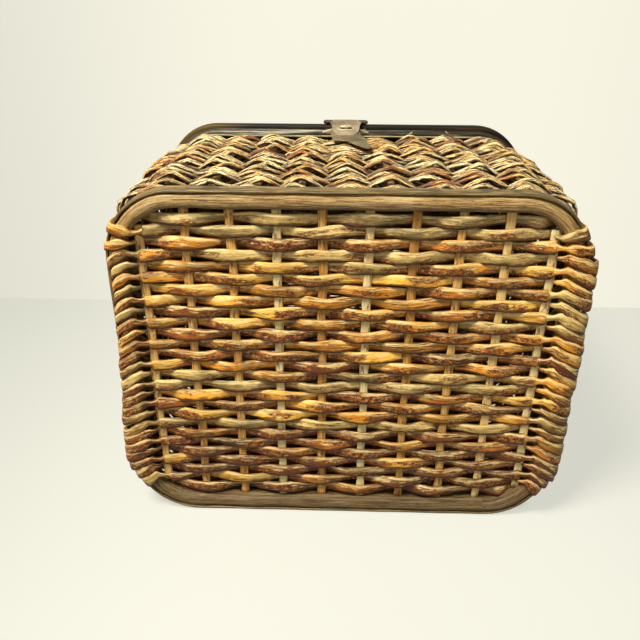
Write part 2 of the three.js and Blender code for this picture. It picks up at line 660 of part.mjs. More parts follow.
// Swinging strap in the clasp's own tilted frame: the pin at the origin, the tip towards -Y
function strapGeometry() {
  const neck = CLASP_KNUCKLE_LENGTH / 2;
  const clear = CLASP_BARREL_RADIUS + CLEARANCE;
  const half = STRAP_WIDTH / 2;
  const tip = STRAP_TIP_WIDTH / 2;
  const shape = new THREE.Shape();
  shape.moveTo(neck, 0);
  shape.lineTo(-neck, 0);
  shape.lineTo(-neck, -clear);
  shape.lineTo(-half, -STRAP_SHOULDER);
  shape.lineTo(-half, -STRAP_TAPER);
  shape.lineTo(-tip, STRAP_TIP_RADIUS - STRAP_LENGTH);
  shape.quadraticCurveTo(-tip, -STRAP_LENGTH, STRAP_TIP_RADIUS - tip, -STRAP_LENGTH);
  shape.lineTo(tip - STRAP_TIP_RADIUS, -STRAP_LENGTH);
  shape.quadraticCurveTo(tip, -STRAP_LENGTH, tip, STRAP_TIP_RADIUS - STRAP_LENGTH);
  shape.lineTo(half, -STRAP_TAPER);
  shape.lineTo(half, -STRAP_SHOULDER);
  shape.lineTo(neck, -clear);
  shape.closePath();
  const sheet = plate(shape, strapUnder, SHEET_THICKNESS);
  const slotShape = oval(BUTTON_LENGTH + 2 * SLOT_CLEARANCE, BUTTON_WIDTH + 2 * SLOT_CLEARANCE);
  const slot = plate(slotShape, strapUnder - OVERRUN, SHEET_THICKNESS + 2 * OVERRUN);
  slot.translate(0, -SLOT_FROM_PIN, 0);
  const knuckle = rod(CLASP_BARREL_RADIUS, CLASP_KNUCKLE_LENGTH, X_AXIS, [0, 0, 0]);
  const bore = rod(CLASP_BORE_RADIUS, CLASP_BARREL_LENGTH, X_AXIS, [0, 0, 0]);
  return cut(joined(sheet, knuckle), slot, bore);
}

// Turn button: an oval head on a post with a collar behind the keeper
function buttonGeometry() {
  const headFoot = strapTop + CLEARANCE;
  const head = new THREE.ExtrudeGeometry(oval(BUTTON_LENGTH, BUTTON_WIDTH), {
    depth: BUTTON_HEIGHT - BUTTON_BEVEL,
    bevelThickness: BUTTON_BEVEL / 2,
    bevelSize: BUTTON_BEVEL,
    bevelOffset: -BUTTON_BEVEL,
    bevelSegments: 1,
    curveSegments: CORNER_STEPS,
  }).translate(0, 0, headFoot + BUTTON_BEVEL / 2);
  const collarTop = keeperTop - SHEET_THICKNESS - CLEARANCE;
  const collarFoot = collarTop - COLLAR_THICKNESS;
  const collar = rod(COLLAR_RADIUS, COLLAR_THICKNESS, Z_AXIS, [0, 0, (collarFoot + collarTop) / 2]);
  const headMiddle = headFoot + BUTTON_HEIGHT / 2;
  const post = rod(POST_RADIUS, headMiddle - collarFoot, Z_AXIS, [0, 0, (collarFoot + headMiddle) / 2]);
  return joined(head, collar, post);
}

// Keeper: ears on the body's rail, a neck under the strap and a fishtail on the wicker
function keeperGeometry() {
  const edge = BODY_DEPTH - LEAF_MARGIN;
  const at = (share) => edge - share * KEEPER_LENGTH;
  const wide = (share) => share * KEEPER_WIDTH;
  const plan = new THREE.Shape();
  const ear = { x: wide(earShares.side), y: at(earShares.foot) };
  const neck = { x: wide(earShares.neck), y: at(earShares.neckEnd) };
  const waist = { x: wide(tailShares.waist), y: at(tailShares.waistAt) };
  const short = { x: wide(tailShares.short), y: at(tailShares.shortAt) };
  const notch = { x: wide(tailShares.notch), y: at(tailShares.notchAt) };
  plan.moveTo(-ear.x, edge);
  plan.lineTo(-ear.x, ear.y);
  plan.quadraticCurveTo(-neck.x, ear.y, -waist.x, neck.y);
  plan.lineTo(-waist.x, waist.y);
  plan.lineTo(-short.x, short.y);
  plan.quadraticCurveTo(notch.x, notch.y, wide(tailShares.long), at(1));
  plan.quadraticCurveTo(short.x, notch.y, waist.x, waist.y);
  plan.lineTo(waist.x, neck.y);
  plan.quadraticCurveTo(neck.x, ear.y, ear.x, ear.y);
  plan.lineTo(ear.x, edge);
  plan.closePath();
  const blank = plate(plan, HEIGHT - KEEPER_LENGTH, 2 * KEEPER_LENGTH);

  const bends = [
    [edge + OVERRUN, HEIGHT + CLEARANCE],
    [bodyRailFront, HEIGHT + CLEARANCE],
    [keeperRest, wallTopAt(keeperRest) + CLEARANCE],
    [at(1) - OVERRUN, wallTopAt(at(1)) + CLEARANCE],
  ].map(([y, z]) => new THREE.Vector2(y, z));
  const raised = bends.map(({ x, y }) => new THREE.Vector2(x, y + SHEET_THICKNESS)).reverse();
  const profile = new THREE.Shape([...bends, ...raised]);
  const sheet = new THREE.ExtrudeGeometry(profile, { depth: 2 * KEEPER_WIDTH, bevelEnabled: false });
  sheet.translate(0, 0, -KEEPER_WIDTH);
  sheet.applyMatrix4(new THREE.Matrix4().makeBasis(Y_AXIS, Z_AXIS, X_AXIS));
  const postHole = rod(POST_RADIUS + CLEARANCE, KEEPER_LENGTH, Z_AXIS, [0, 0, 0])
    .translate(0, -SLOT_FROM_PIN, 0)
    .rotateX(rampAngle)
    .translate(0, claspAxis.y, claspAxis.z);
  const holes = keeperRivets.map((place) => rivetHole(place, Z_AXIS));
  return cut(shared(blank, sheet), postHole, ...holes);
}

function addClasp() {
  const clasp = new THREE.Group();
  clasp.position.set(0, claspAxis.y, claspAxis.z);
  basket.add(clasp);
  add("clasp_leaf", claspLeaf(), "steel", clasp);
  const pinLength = CLASP_BARREL_LENGTH + 2 * HINGE_PIN_HEAD;
  const pin = rod(CLASP_BORE_RADIUS - CLEARANCE, pinLength, X_AXIS, [0, 0, 0], RIVET_SIDES);
  add("clasp_pin", pin, "steel", clasp);
  const tilted = new THREE.Group();
  tilted.rotation.x = rampAngle;
  clasp.add(tilted);
  add("clasp_strap", strapGeometry(), "clasp", tilted);
  add("turn_button", buttonGeometry(), "clasp", tilted).position.y = -SLOT_FROM_PIN;
  add("keeper_plate", keeperGeometry(), "clasp");
}

addBottom();
addWall();
addRails();
addLid();
addHinge("hinge_left", -1);
addHinge("hinge_right", 1);
addClasp();
hingeRivets.forEach(({ name, place }) => addRivet(name, place, down, "steel"));
claspRivets.forEach((place, n) => addRivet("clasp_rivet_" + (n + 1), place, Y_AXIS, "steel"));
keeperRivets.forEach((place, n) => addRivet("keeper_rivet_" + (n + 1), place, Z_AXIS, "clasp"));
basket.position.y = -baseMiddle;

export default basket;
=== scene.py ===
import math
import random
from collections import namedtuple

import bmesh
import bpy
from mathutils import Matrix, Vector


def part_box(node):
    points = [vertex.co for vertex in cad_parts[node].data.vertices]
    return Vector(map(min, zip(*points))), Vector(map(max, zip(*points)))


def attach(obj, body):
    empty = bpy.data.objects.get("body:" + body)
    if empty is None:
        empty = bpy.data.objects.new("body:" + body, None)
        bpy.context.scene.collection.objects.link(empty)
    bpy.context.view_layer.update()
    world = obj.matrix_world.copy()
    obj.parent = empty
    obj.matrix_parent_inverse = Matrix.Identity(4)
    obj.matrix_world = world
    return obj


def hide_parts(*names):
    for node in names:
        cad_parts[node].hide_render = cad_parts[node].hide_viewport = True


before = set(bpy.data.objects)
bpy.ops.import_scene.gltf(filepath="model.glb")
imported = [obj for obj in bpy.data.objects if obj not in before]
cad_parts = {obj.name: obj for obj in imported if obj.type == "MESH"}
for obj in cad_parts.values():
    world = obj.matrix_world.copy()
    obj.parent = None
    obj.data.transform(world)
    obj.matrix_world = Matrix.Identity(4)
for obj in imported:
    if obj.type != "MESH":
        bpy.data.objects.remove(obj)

bl_info = {
    "name": "Lidded storage basket",
    "version": (1, 0, 0),
    "blender": (4, 5, 0),
    "location": "View3D > Sidebar > Basket",
    "description": "Builds the looks of a lidded wicker basket round its CAD frame",
    "category": "Object",
}

SEED = 20
X_AXIS = Vector((1, 0, 0))
Y_AXIS = Vector((0, 1, 0))
Z_AXIS = Vector((0, 0, 1))

# A rectangle with round corners, upright and seen along Y
Loop = namedtuple("Loop", "half_x half_z radius centre_z")
# One section of a rod: where it is, which way it is wide, its half sizes, its tone, and its light, a second
# random tone on some rods and painted light and shade on the wall's rods and stakes
Station = namedtuple("Station", "centre across half_width half_thickness shade light")
# The section of a ring: half its sizes outwards and along Y, how square it is, its sides and its sway
Bar = namedtuple("Bar", "half_across half_along squareness sides sway")
# How far a rod strays from its course, and how long its waves are
Stray = namedtuple("Stray", "size wavelength")

PLAIN_TONE = 0.5
# How square a flat strip is, and a plain round rod
FLAT_STRIP = 4.5
ROUND = 2.0
RING_STEPS = 240
RING_WAVELENGTH = 0.09
SMALLEST_RADIUS = 1e-9
SEAM_GAP = 1e-7
# A random course is a sum of so many waves, whose rates lie between these shares of its own
WAVES = 3
WAVE_RATES = (0.6, 1.7)


# Outlines


def inside(loop, distance):
    """The outline that runs at a distance inside another."""
    return Loop(
        loop.half_x - distance,
        loop.half_z - distance,
        loop.radius - distance,
        loop.centre_z,
    )


def between(first, last, share):
    """The outline at a share of the way from one to another."""
    return Loop(*(blend(a, b, share) for a, b in zip(first, last)))


def loop_length(loop):
    straights = 4 * (loop.half_x + loop.half_z - 2 * loop.radius)
    return straights + math.tau * loop.radius


def loop_place(loop, share):
    """The point at a share of the way round from the lower right, and the way it faces."""
    distance = (share % 1) * loop_length(loop)
    corner_x = loop.half_x - loop.radius
    corner_z = loop.half_z - loop.radius
    corners = [(corner_x, -corner_z), (corner_x, corner_z), (-corner_x, corner_z), (-corner_x, -corner_z)]
    arc = loop.radius * math.pi / 2
    for side, (x, z) in enumerate(corners):
        start = (side - 1) * math.pi / 2
        if distance <= arc:
            angle = start + distance / max(loop.radius, SMALLEST_RADIUS)
            facing = Vector((math.cos(angle), 0, math.sin(angle)))
            return Vector((x, 0, loop.centre_z + z)) + facing * loop.radius, facing
        distance -= arc
        facing = Vector((math.cos(start + math.pi / 2), 0, math.sin(start + math.pi / 2)))
        along = Vector((-facing.z, 0, facing.x))
        straight = 2 * (corner_z if side % 2 == 0 else corner_x)
        if distance <= straight or side == 3:
            begin = Vector((x, 0, loop.centre_z + z)) + facing * loop.radius
            return begin + along * min(distance, straight), facing
        distance -= straight


def half_width_at(loop, z):
    """Half the width of an outline at a height."""
    past = max(0.0, abs(z - loop.centre_z) - (loop.half_z - loop.radius))
    return loop.half_x - loop.radius + math.sqrt(max(0.0, loop.radius**2 - past**2))


def loop_of(node, thickness, corner):
    """The outline down the middle of a ring that is a CAD node."""
    low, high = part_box(node)
    outer = Loop((high.x - low.x) / 2, (high.z - low.z) / 2, corner, (high.z + low.z) / 2)
    return inside(outer, thickness / 2)


# Rods


def clamp(value):
    return min(1.0, max(0.0, value))


def smooth(value):
    value = clamp(value)
    return value * value * (3 - 2 * value)


def blend(first, last, share):
    return first + (last - first) * share


def shares(steps, first=0):
    """The shares at which a stretch is cut into equal steps, up to 1."""
    return [n / steps for n in range(first, steps + 1)]


def wander(rng, size, wavelength):
    """A smooth random course of about the given size, as a function of the distance along."""
    waves = [(rng.uniform(*WAVE_RATES) / wavelength, rng.uniform(0, math.tau)) for _ in range(WAVES)]
    return lambda s: size * sum(math.sin(math.tau * s * rate + phase) for rate, phase in waves) / 2


def rippled(rng, size, count):
    """A course that passes smoothly through a random value at each whole number."""
    values = [rng.uniform(-size, size) for _ in range(count + 2)]

    def at(t):
        n = min(count, max(0, math.floor(t)))
        return blend(values[n], values[n + 1], smooth(t - n))

    return at


def superellipse(angle, power):
    """The point at an angle on an oval whose sides are flatter the higher the power."""
    c, s = math.cos(angle), math.sin(angle)
    return (
        math.copysign(abs(c) ** (2 / power), c),
        math.copysign(abs(s) ** (2 / power), s),
    )


def lay_rod(bm, stations, sides, power=2.2, closed=False):
    """Bends a grid into a rod along its stations. Its UV map holds metres along it and turns round it."""
    uv = bm.loops.layers.uv.get("UVMap") or bm.loops.layers.uv.new("UVMap")
    shade = bm.verts.layers.float.get("shade") or bm.verts.layers.float.new("shade")
    light = bm.verts.layers.float.get("light") or bm.verts.layers.float.new("light")
    steps = len(stations) - 1
    made = bmesh.ops.create_grid(bm, x_segments=steps, y_segments=sides, size=0.5, calc_uvs=True)["verts"]
    run = [0.0]
    for before, after in zip(stations, stations[1:]):
        run.append(run[-1] + (after.centre - before.centre).length)
    outwards = []
    for n, station in enumerate(stations):
        if closed and n in (0, steps):
            ahead = stations[1].centre - stations[-2].centre
        else:
            ahead = stations[min(n + 1, steps)].centre - stations[max(n - 1, 0)].centre
        outwards.append(station.across.cross(ahead).normalized())
    ring = [superellipse(math.tau * row / sides, power) for row in range(sides)]
    seam = []
    places = {}
    for vert in made:
        column = round((vert.co.x + 0.5) * steps)
        row = round((vert.co.y + 0.5) * sides)
        places[vert] = (column, row)
        station = stations[column]
        wide, thick = ring[row % sides]
        vert.co = (
            station.centre
            + station.across * (wide * station.half_width)
            + outwards[column] * (thick * station.half_thickness)
        )
        vert[shade] = station.shade
        vert[light] = station.light
        if row in (0, sides) or (closed and column in (0, steps)):
            seam.append(vert)
    for face in {face for vert in made for face in vert.link_faces}:
        for corner in face.loops:
            column, row = places[corner.vert]
            corner[uv].uv = (run[column], row / sides)
    bmesh.ops.remove_doubles(bm, verts=seam, dist=SEAM_GAP)


def finish_mesh(name, bm, body, replaced, smooth_faces=True):
    """Closes a mesh's ends, turns it outwards and gives it to its body."""
    ends = [edge for edge in bm.edges if edge.is_boundary]
    if ends:
        bmesh.ops.holes_fill(bm, edges=ends, sides=0)
    bmesh.ops.recalc_face_normals(bm, faces=bm.faces)
    mesh = bpy.data.meshes.new(name)
    bm.to_mesh(mesh)
    bm.free()
    if smooth_faces:
        mesh.shade_smooth()
    piece = bpy.data.objects.new(name, mesh)
    bpy.context.scene.collection.objects.link(piece)
    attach(piece, body)
    if replaced:
        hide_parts(*replaced)
    return piece


# Shaders


def tint(red, green, blue):
    """A colour as a shader takes it, from its value on screen from 0 to 255."""
    parts = [value / 255 for value in (red, green, blue)]
    return (*(p / 12.92 if p <= 0.04045 else ((p + 0.055) / 1.055) ** 2.4 for p in parts), 1.0)


# A Mix node's colour sockets come after those for numbers and vectors
MIX_FIRST, MIX_SECOND, MIX_RESULT = 6, 7, 2


class Wire:
    """A shader node's output, which sums and products can be made of."""

    def __init__(self, tree, socket=None):
        self.tree = tree
        self.socket = socket

    def node(self, kind, settings, inputs, output=0):
        """Adds a node, sets it up, and then fills its sockets with values or other wires."""
        node = self.tree.nodes.new(kind)
        for name, value in settings.items():
            setattr(node, name, value)
        for name, value in inputs.items():
            if isinstance(value, Wire):
                self.tree.links.new(value.socket, node.inputs[name])
            else:
                node.inputs[name].default_value = value
        return Wire(self.tree, node.outputs[output])

    def math(self, operation, *values):
        return self.node("ShaderNodeMath", {"operation": operation}, dict(enumerate(values)))

    def __add__(self, other):
        return self.math("ADD", self, other)

    __radd__ = __add__

    def __sub__(self, other):
        return self.math("SUBTRACT", self, other)

    def __rsub__(self, other):
        return self.math("SUBTRACT", other, self)

    def __mul__(self, other):
        return self.math("MULTIPLY", self, other)

    __rmul__ = __mul__

    def absolute(self):
        return self.math("ABSOLUTE", self)

    def step(self, low, high):
        """0 below low, 1 above high and smooth between them."""
        settings = {"interpolation_type": "SMOOTHSTEP"}
        return self.node("ShaderNodeMapRange", settings, {"Value": self, "From Min": low, "From Max": high})

    def attribute(self, name):
        return self.node("ShaderNodeAttribute", {"attribute_name": name}, {}, "Fac")

    def coordinates(self, output="Object"):
        return self.node("ShaderNodeTexCoord", {}, {}, output)

    def vector(self, x, y, z):
        return self.node("ShaderNodeCombineXYZ", {}, {"X": x, "Y": y, "Z": z})

    def part(self, axis):
        return self.node("ShaderNodeSeparateXYZ", {}, {0: self}, axis)

    def noise(self, vector, scale, detail=3.0, roughness=0.55):
        inputs = {"Vector": vector, "Scale": scale, "Detail": detail, "Roughness": roughness}
        return self.node("ShaderNodeTexNoise", {}, inputs)

    def cells(self, vector, scale):
        return self.node("ShaderNodeTexVoronoi", {}, {"Vector": vector, "Scale": scale})

    def colour(self, stops):
        """The colours of a row of stops, each a place from 0 to 1 and a colour."""
        found = self.node("ShaderNodeValToRGB", {}, {0: self})
        elements = found.socket.node.color_ramp.elements
        for element, (place, value) in zip(elements, (stops[0], stops[-1])):
            element.position = place
            element.color = value
        for place, value in stops[1:-1]:
            elements.new(place).color = value
        return found

    def mix(self, share, first, second, mode="MIX"):
        settings = {"data_type": "RGBA", "blend_type": mode}
        inputs = {0: share, MIX_FIRST: first, MIX_SECOND: second}
        return self.node("ShaderNodeMix", settings, inputs, MIX_RESULT)

    def darken(self, colour, share):
        """A colour times a number that changes over the surface."""
        return self.mix(1.0, colour, self.vector(share, share, share), "MULTIPLY")

    def bump(self, height, strength, distance):
        inputs = {"Strength": strength, "Distance": distance, "Height": height}
        return self.node("ShaderNodeBump", {}, inputs)


def finish_of(name, paint):
    """The finish of that name, made the first time that it is asked for."""
    material = bpy.data.materials.get("finish_" + name)
    if material is None:
        material = bpy.data.materials.new("finish_" + name)
        material.use_nodes = True
        shader = material.node_tree.nodes["Principled BSDF"]
        wire = Wire(material.node_tree)
        for socket, value in paint(wire).items():
            if isinstance(value, Wire):
                material.node_tree.links.new(value.socket, shader.inputs[socket])
            else:
                shader.inputs[socket].default_value = value
    return material


# Rods of different tones have different patterns, because their tone moves them along the noise
TONE_SHIFT = 37.0


class RodSurface:
    """What a rod's paint goes by: metres along it, its top and front, its tone, and its light, which on some
    rods is painted light and shade.
    """

    def __init__(self, wire):
        uv = wire.coordinates("UV")
        turn = uv.part("Y") * math.tau
        self.wire = wire
        self.along = uv.part("X")
        self.top = turn.math("COSINE", turn)
        self.back = turn.math("SINE", turn)
        self.shade = wire.attribute("shade")
        self.light = wire.attribute("light")

    def spot(self, along, around, seed):
        x = self.along * along + self.shade * TONE_SHIFT + seed
        return self.wire.vector(x, self.top * around, self.back * around)

    def noise(self, along, around, seed, detail=3.0, roughness=0.55):
        """Noise with so many waves to a metre along the rod, and so many to its radius."""
        return self.wire.noise(self.spot(along, around, seed), 1.0, detail, roughness)

    def cells(self, along, around, seed):
        return self.wire.cells(self.spot(along, around, seed), 1.0)


class ColourSettings(bpy.types.PropertyGroup):
    bottom_rods: bpy.props.FloatVectorProperty(
        name="Bottom rods", description="The golden wood of the bottom's rods", default=tint(255, 198, 76),
        size=4, min=0, max=1, subtype="COLOR",
    )
    wall_rods: bpy.props.FloatVectorProperty(
        name="Wall rods", description="The cream wood of the wall's rods", default=tint(255, 242, 186),
        size=4, min=0, max=1, subtype="COLOR",
    )
    stakes: bpy.props.FloatVectorProperty(
        name="Stakes", description="The peeled wood of the stakes", default=tint(252, 204, 118),
        size=4, min=0, max=1, subtype="COLOR",
    )
    pole: bpy.props.FloatVectorProperty(
        name="Pole", description="The weathered wood of the bottom's hoop", default=tint(206, 168, 102),
        size=4, min=0, max=1, subtype="COLOR",
    )
    body_rail: bpy.props.FloatVectorProperty(
        name="Body rail", description="The metal round the mouth", default=tint(84, 78, 56),
        size=4, min=0, max=1, subtype="COLOR",
    )
    lid_rail: bpy.props.FloatVectorProperty(
        name="Lid rail", description="The metal round the lid", default=tint(22, 13, 6),
        size=4, min=0, max=1, subtype="COLOR",
    )


def chosen(name):
    """A colour that the user can set."""
    return tuple(getattr(bpy.context.scene.basket_colours, name))


# Painted shade towards the ground: the heights between which the bottom's rods and its hoop grow lighter
BOTTOM_PAINTED_SHADE_HEIGHTS = (-0.02, 0.18)
POLE_PAINTED_SHADE_HEIGHTS = (0.0, 0.22)
# The lid's rail is olive on the left of this place
OLIVE_X = -0.1
OLIVE_FADE = 0.05


def paint_panel_rods(wire):
    """Half-round rattan: amber, golden and grey rods with scaly dark bark and cream flecks, a painted
    highlight along their upper sides, and painted shade on their lower sides, backs and towards the ground.
    """
    rod = RodSurface(wire)
    fibre = rod.noise(80, 6.0, 0, 4.0, 0.8)
    broad = rod.noise(45, 1.1, 5, 3.0, 0.6)
    wood = (rod.shade + (broad - 0.5) * 0.45).colour(
        [
            (0.0, tint(170, 144, 84)),
            (0.13, tint(226, 190, 112)),
            (0.26, tint(128, 90, 30)),
            (0.42, tint(230, 148, 30)),
            (0.6, chosen("bottom_rods")),
            (0.76, tint(216, 136, 36)),
            (0.9, tint(146, 78, 22)),
            (1.0, tint(104, 56, 22)),
        ]
    )
    streaks = rod.noise(13, 6.0, 61, 4.0, 0.8)
    wood = wire.mix(streaks.step(0.55, 0.62) * 0.75, wood, tint(96, 44, 10))
    wood = wire.mix((1.0 - streaks).step(0.56, 0.64) * 0.55, wood, tint(255, 214, 120))
    grain = (fibre - 0.5) * 3.2 + 1.02 + (rod.light - 0.5) * 0.5
    wood = wire.darken(wood, grain)
    middle = (rod.light - 0.5) * 1.2 - 0.1
    jagged = rod.noise(170, 4.0, 11, 3.0, 0.75) - 0.5
    reach = (rod.noise(30, 0.4, 17, 2.0, 0.5) - 0.5) * 4.6 + (rod.shade - 0.3) * 0.5
    bark = (reach + jagged * 2.2 - (rod.top - middle).absolute()).step(-0.08, 0.12)
    scales = rod.cells(330, 3.4, 23)
    bark_colour = scales.colour(
        [(0.15, tint(40, 14, 3)), (0.5, tint(108, 44, 6)), (0.85, tint(184, 100, 18))]
    )
    flecks = rod.noise(260, 4.0, 31, 3.0, 0.8).step(0.57, 0.63)
    bark_colour = wire.mix(flecks * 0.75, bark_colour, tint(248, 208, 120))
    # Painted shade: a maroon-brown band along the lower side of each rod
    edge = (-0.2 - rod.top + (rod.noise(70, 1.6, 53, 3.0, 0.7) - 0.5) * 2.4).step(0.0, 0.3)
    wood = wire.mix(edge * 0.8, wood, tint(110, 48, 8))
    whole = wire.mix(bark * 0.92, wood, bark_colour)
    # Painted highlight: a cream band along the upper side of each rod, weaker on its bark
    crown = rod.top - 0.55
    lit = (0.55 - crown.absolute() + (rod.noise(60, 2.4, 41, 4.0, 0.75) - 0.5) * 3.4).step(0.2, 0.5)
    whole = wire.mix(lit * (0.85 - bark * 0.4), whole, tint(255, 226, 150))
    # Painted shade: darker along each rod's lower side, in a thin line at its upper edge, on its back
    # towards the inside of the basket, and towards the ground
    rough_edge = (rod.noise(80, 1.0, 47) - 0.5) * 1.0
    under = (rod.top + rough_edge).step(-0.95, -0.15) * 0.75 + 0.25
    above = (1.03 - rod.top).step(0.0, 0.12) * 0.7 + 0.3
    hidden = (0.75 - rod.back).step(0.0, 0.6) * 0.75 + 0.25
    low = wire.coordinates().part("Z").step(*BOTTOM_PAINTED_SHADE_HEIGHTS) * 0.22 + 0.9
    whole = wire.darken(whole, under * above * hidden * low)
    return {
        "Base Color": whole,
        "Roughness": 0.36 + fibre * 0.3,
        "Coat Weight": 0.12,
        "Coat Roughness": 0.3,
        "Normal": wire.bump(fibre * 0.6 + scales * bark * 0.5 + jagged * 0.3, 0.8, 0.0007),
    }


def paint_wall_rods(wire):
    """Thin round rods: straw and cream on top, with painted shade, maroon and black, where they dive."""
    rod = RodSurface(wire)
    fibre = rod.noise(60, 3.2, 0, 4.0, 0.75)
    broad = rod.noise(60, 0.9, 5, 3.0, 0.6)
    wood = (rod.shade * 0.55 + (broad - 0.5) * 1.1 + 0.18).colour(
        [
            (0.0, tint(96, 34, 18)),
            (0.2, tint(170, 104, 48)),
            (0.34, tint(246, 204, 120)),
            (0.52, chosen("wall_rods")),
            (0.68, tint(250, 202, 104)),
            (0.84, tint(176, 92, 40)),
            (1.0, tint(92, 32, 18)),
        ]
    )
    # Painted light and shade: the grain grows darker where the rod's light is low, as in the hollows of the
    # wall
    grain = (fibre - 0.5) * 3.6 + 1.1 + (rod.light - 0.6) * 0.9
    wood = wire.darken(wood, grain)
    streak = rod.noise(130, 2.6, 13, 3.0, 0.8).step(0.5, 0.54)
    wood = wire.mix(streak * 0.9, wood, tint(48, 18, 12))
    splits = rod.noise(30, 5.5, 71, 2.0, 0.6).step(0.52, 0.57)
    wood = wire.mix(splits * 0.8, wood, tint(48, 22, 12))
    # Painted shade: near black on the side of the rod turned away from the outside and where its light is
    # low
    uneven = (rod.noise(150, 1.8, 29, 3.0, 0.8) - 0.5) * 2.6
    crest = (rod.back + uneven + (rod.light - 0.6) * 1.2).step(0.14, 0.44)
    wood = wire.mix(crest, wire.mix(0.9, wood, tint(34, 14, 8)), wood)
    return {
        "Base Color": wood,
        "Roughness": 0.45 + fibre * 0.25,
        "Coat Weight": 0.1,
        "Normal": wire.bump(fibre, 0.6, 0.0006),
    }


def paint_stakes(wire):
    """Flat peeled strips, straw coloured with long fibres, and painted shade where their light is low."""
    rod = RodSurface(wire)
    fibre = rod.noise(30, 3.5, 0, 4.0, 0.7)
    wear = rod.noise(60, 1.2, 7, 4.0, 0.7)
    wood = (fibre * 0.9 + (rod.shade - 0.5) * 0.4).colour(
        [(0.25, tint(190, 132, 56)), (0.45, chosen("stakes")), (0.72, tint(255, 240, 180))]
    )
    wood = wire.mix(wear.step(0.53, 0.62) * 0.8, wood, tint(112, 66, 28))
    # Painted shade: darker where the stake's light is low, between the wall's rods, and near black by the
    # hoop
    wood = wire.darken(wood, rod.light.step(0.0, 0.5) * 0.9 + 0.1)
    return {"Base Color": wood, "Roughness": 0.5, "Normal": wire.bump(fibre, 0.4, 0.0005)}


def paint_reed(wire):
    """Thin pale reed, worn dark in places."""
    rod = RodSurface(wire)
    fibre = rod.noise(40, 2.0, 0, 4.0, 0.7)
    wood = fibre.colour([(0.4, tint(84, 68, 36)), (0.52, tint(176, 160, 116)), (0.64, tint(226, 216, 176))])
    return {"Base Color": wood, "Roughness": 0.6, "Normal": wire.bump(fibre, 0.3, 0.0004)}


def paint_pole(wire):
    """Weathered bent pole, straw and brown with fine lengthwise grain, and painted shade on its inner side
    and towards the ground.
    """
    rod = RodSurface(wire)
    fibre = rod.noise(20, 7.0, 0, 5.0, 0.8)
    broad = rod.noise(16, 0.8, 7, 3.0, 0.6)
    cracks = rod.noise(30, 9.0, 19, 3.0, 0.7).step(0.55, 0.63)
    wood = (fibre * 0.9 + broad * 0.25).colour(
        [
            (0.4, tint(86, 54, 18)),
            (0.5, tint(158, 116, 56)),
            (0.58, chosen("pole")),
            (0.72, tint(244, 214, 150)),
        ]
    )
    wood = wire.mix(cracks * 0.8, wood, tint(78, 48, 18))
    lines = rod.noise(14, 16.0, 41, 3.0, 0.7).step(0.54, 0.58)
    wood = wire.mix(lines * 0.6, wood, tint(84, 56, 26))
    specks = rod.noise(120, 11.0, 33, 3.0, 0.8)
    wood = wire.mix(specks.step(0.56, 0.62) * 0.65, wood, tint(70, 44, 16))
    wood = wire.mix((1.0 - specks).step(0.58, 0.64) * 0.5, wood, tint(240, 216, 160))
    # Painted shade: darker on the pole's inner side, towards the bottom's weave, and towards the ground
    crown = (rod.top + (rod.noise(24, 2.0, 27) - 0.5) * 0.9).step(-0.9, 0.5) * 0.42 + 0.62
    low = wire.coordinates().part("Z").step(*POLE_PAINTED_SHADE_HEIGHTS) * 0.42 + 0.58
    wood = wire.darken(wood, crown * low)
    return {
        "Base Color": wood,
        "Roughness": 0.45 + fibre * 0.2,
        "Coat Weight": 0.12,
        "Normal": wire.bump(fibre - cracks * 0.4, 0.8, 0.0007),
    }


def paint_band(wire):
    """Thin outer band, dark olive where it is worn."""
    rod = RodSurface(wire)
    fibre = rod.noise(30, 3.5, 0, 4.0, 0.75)
    wear = rod.noise(44, 1.4, 9, 4.0, 0.7)
    wood = fibre.colour([(0.34, tint(62, 48, 18)), (0.5, tint(120, 98, 50)), (0.66, tint(186, 160, 100))])
    wood = wire.mix(wear.step(0.5, 0.6) * 0.8, wood, tint(52, 38, 14))
    return {
        "Base Color": wood,
        "Roughness": 0.45,
        "Coat Weight": 0.12,
        "Normal": wire.bump(fibre, 0.5, 0.0005),
    }


def metal(dark, middle, bright, roughness, metallic):
    """The paint of an aged metal: three colours in soft patches, with fine wear."""

    def paint(wire):
        place = wire.coordinates()
        patches = wire.noise(place, 45.0, 4.0, 0.6)
        wear = wire.noise(place, 420.0, 3.0, 0.6)
        colour = (patches * 0.8 + wear * 0.25).colour([(0.38, dark), (0.52, middle), (0.68, bright)])
        return {
            "Base Color": colour,
            "Metallic": metallic,
            "Roughness": roughness + wear * 0.25,
            "Normal": wire.bump(wear, 0.15, 0.0003),
        }

    return paint


def paint_body_rail(wire):
    """Grey-green metal with patches along it, from near black to pale streaks, that are painted reflections,
    and painted shade: black towards the wicker and a dark line along its outer edge.
    """
    rod = RodSurface(wire)
    patches = rod.noise(9, 1.6, 0, 4.0, 0.6)
    wear = rod.noise(60, 6.0, 5, 3.0, 0.7)
    # Painted reflection: the patches along the rail, from near black to pale grey, stand in for the changing
    # reflections of the metal
    colour = (patches * 0.85 + wear * 0.25).colour(
        [(0.48, tint(26, 20, 12)), (0.58, chosen("body_rail")), (0.68, tint(190, 190, 170))]
    )
    # Painted shade: black on the side towards the wicker and a dark line along the outer edge
    shade = rod.top.step(0.14, 0.3) * (1.02 - rod.top).step(0.0, 0.05) * 0.88 + 0.12
    return {
        "Base Color": wire.darken(colour, shade),
        "Metallic": shade * 0.35,
        "Roughness": 1.0 - shade * 0.6 + wear * 0.2,
        "Normal": wire.bump(wear, 0.15, 0.0003),
    }


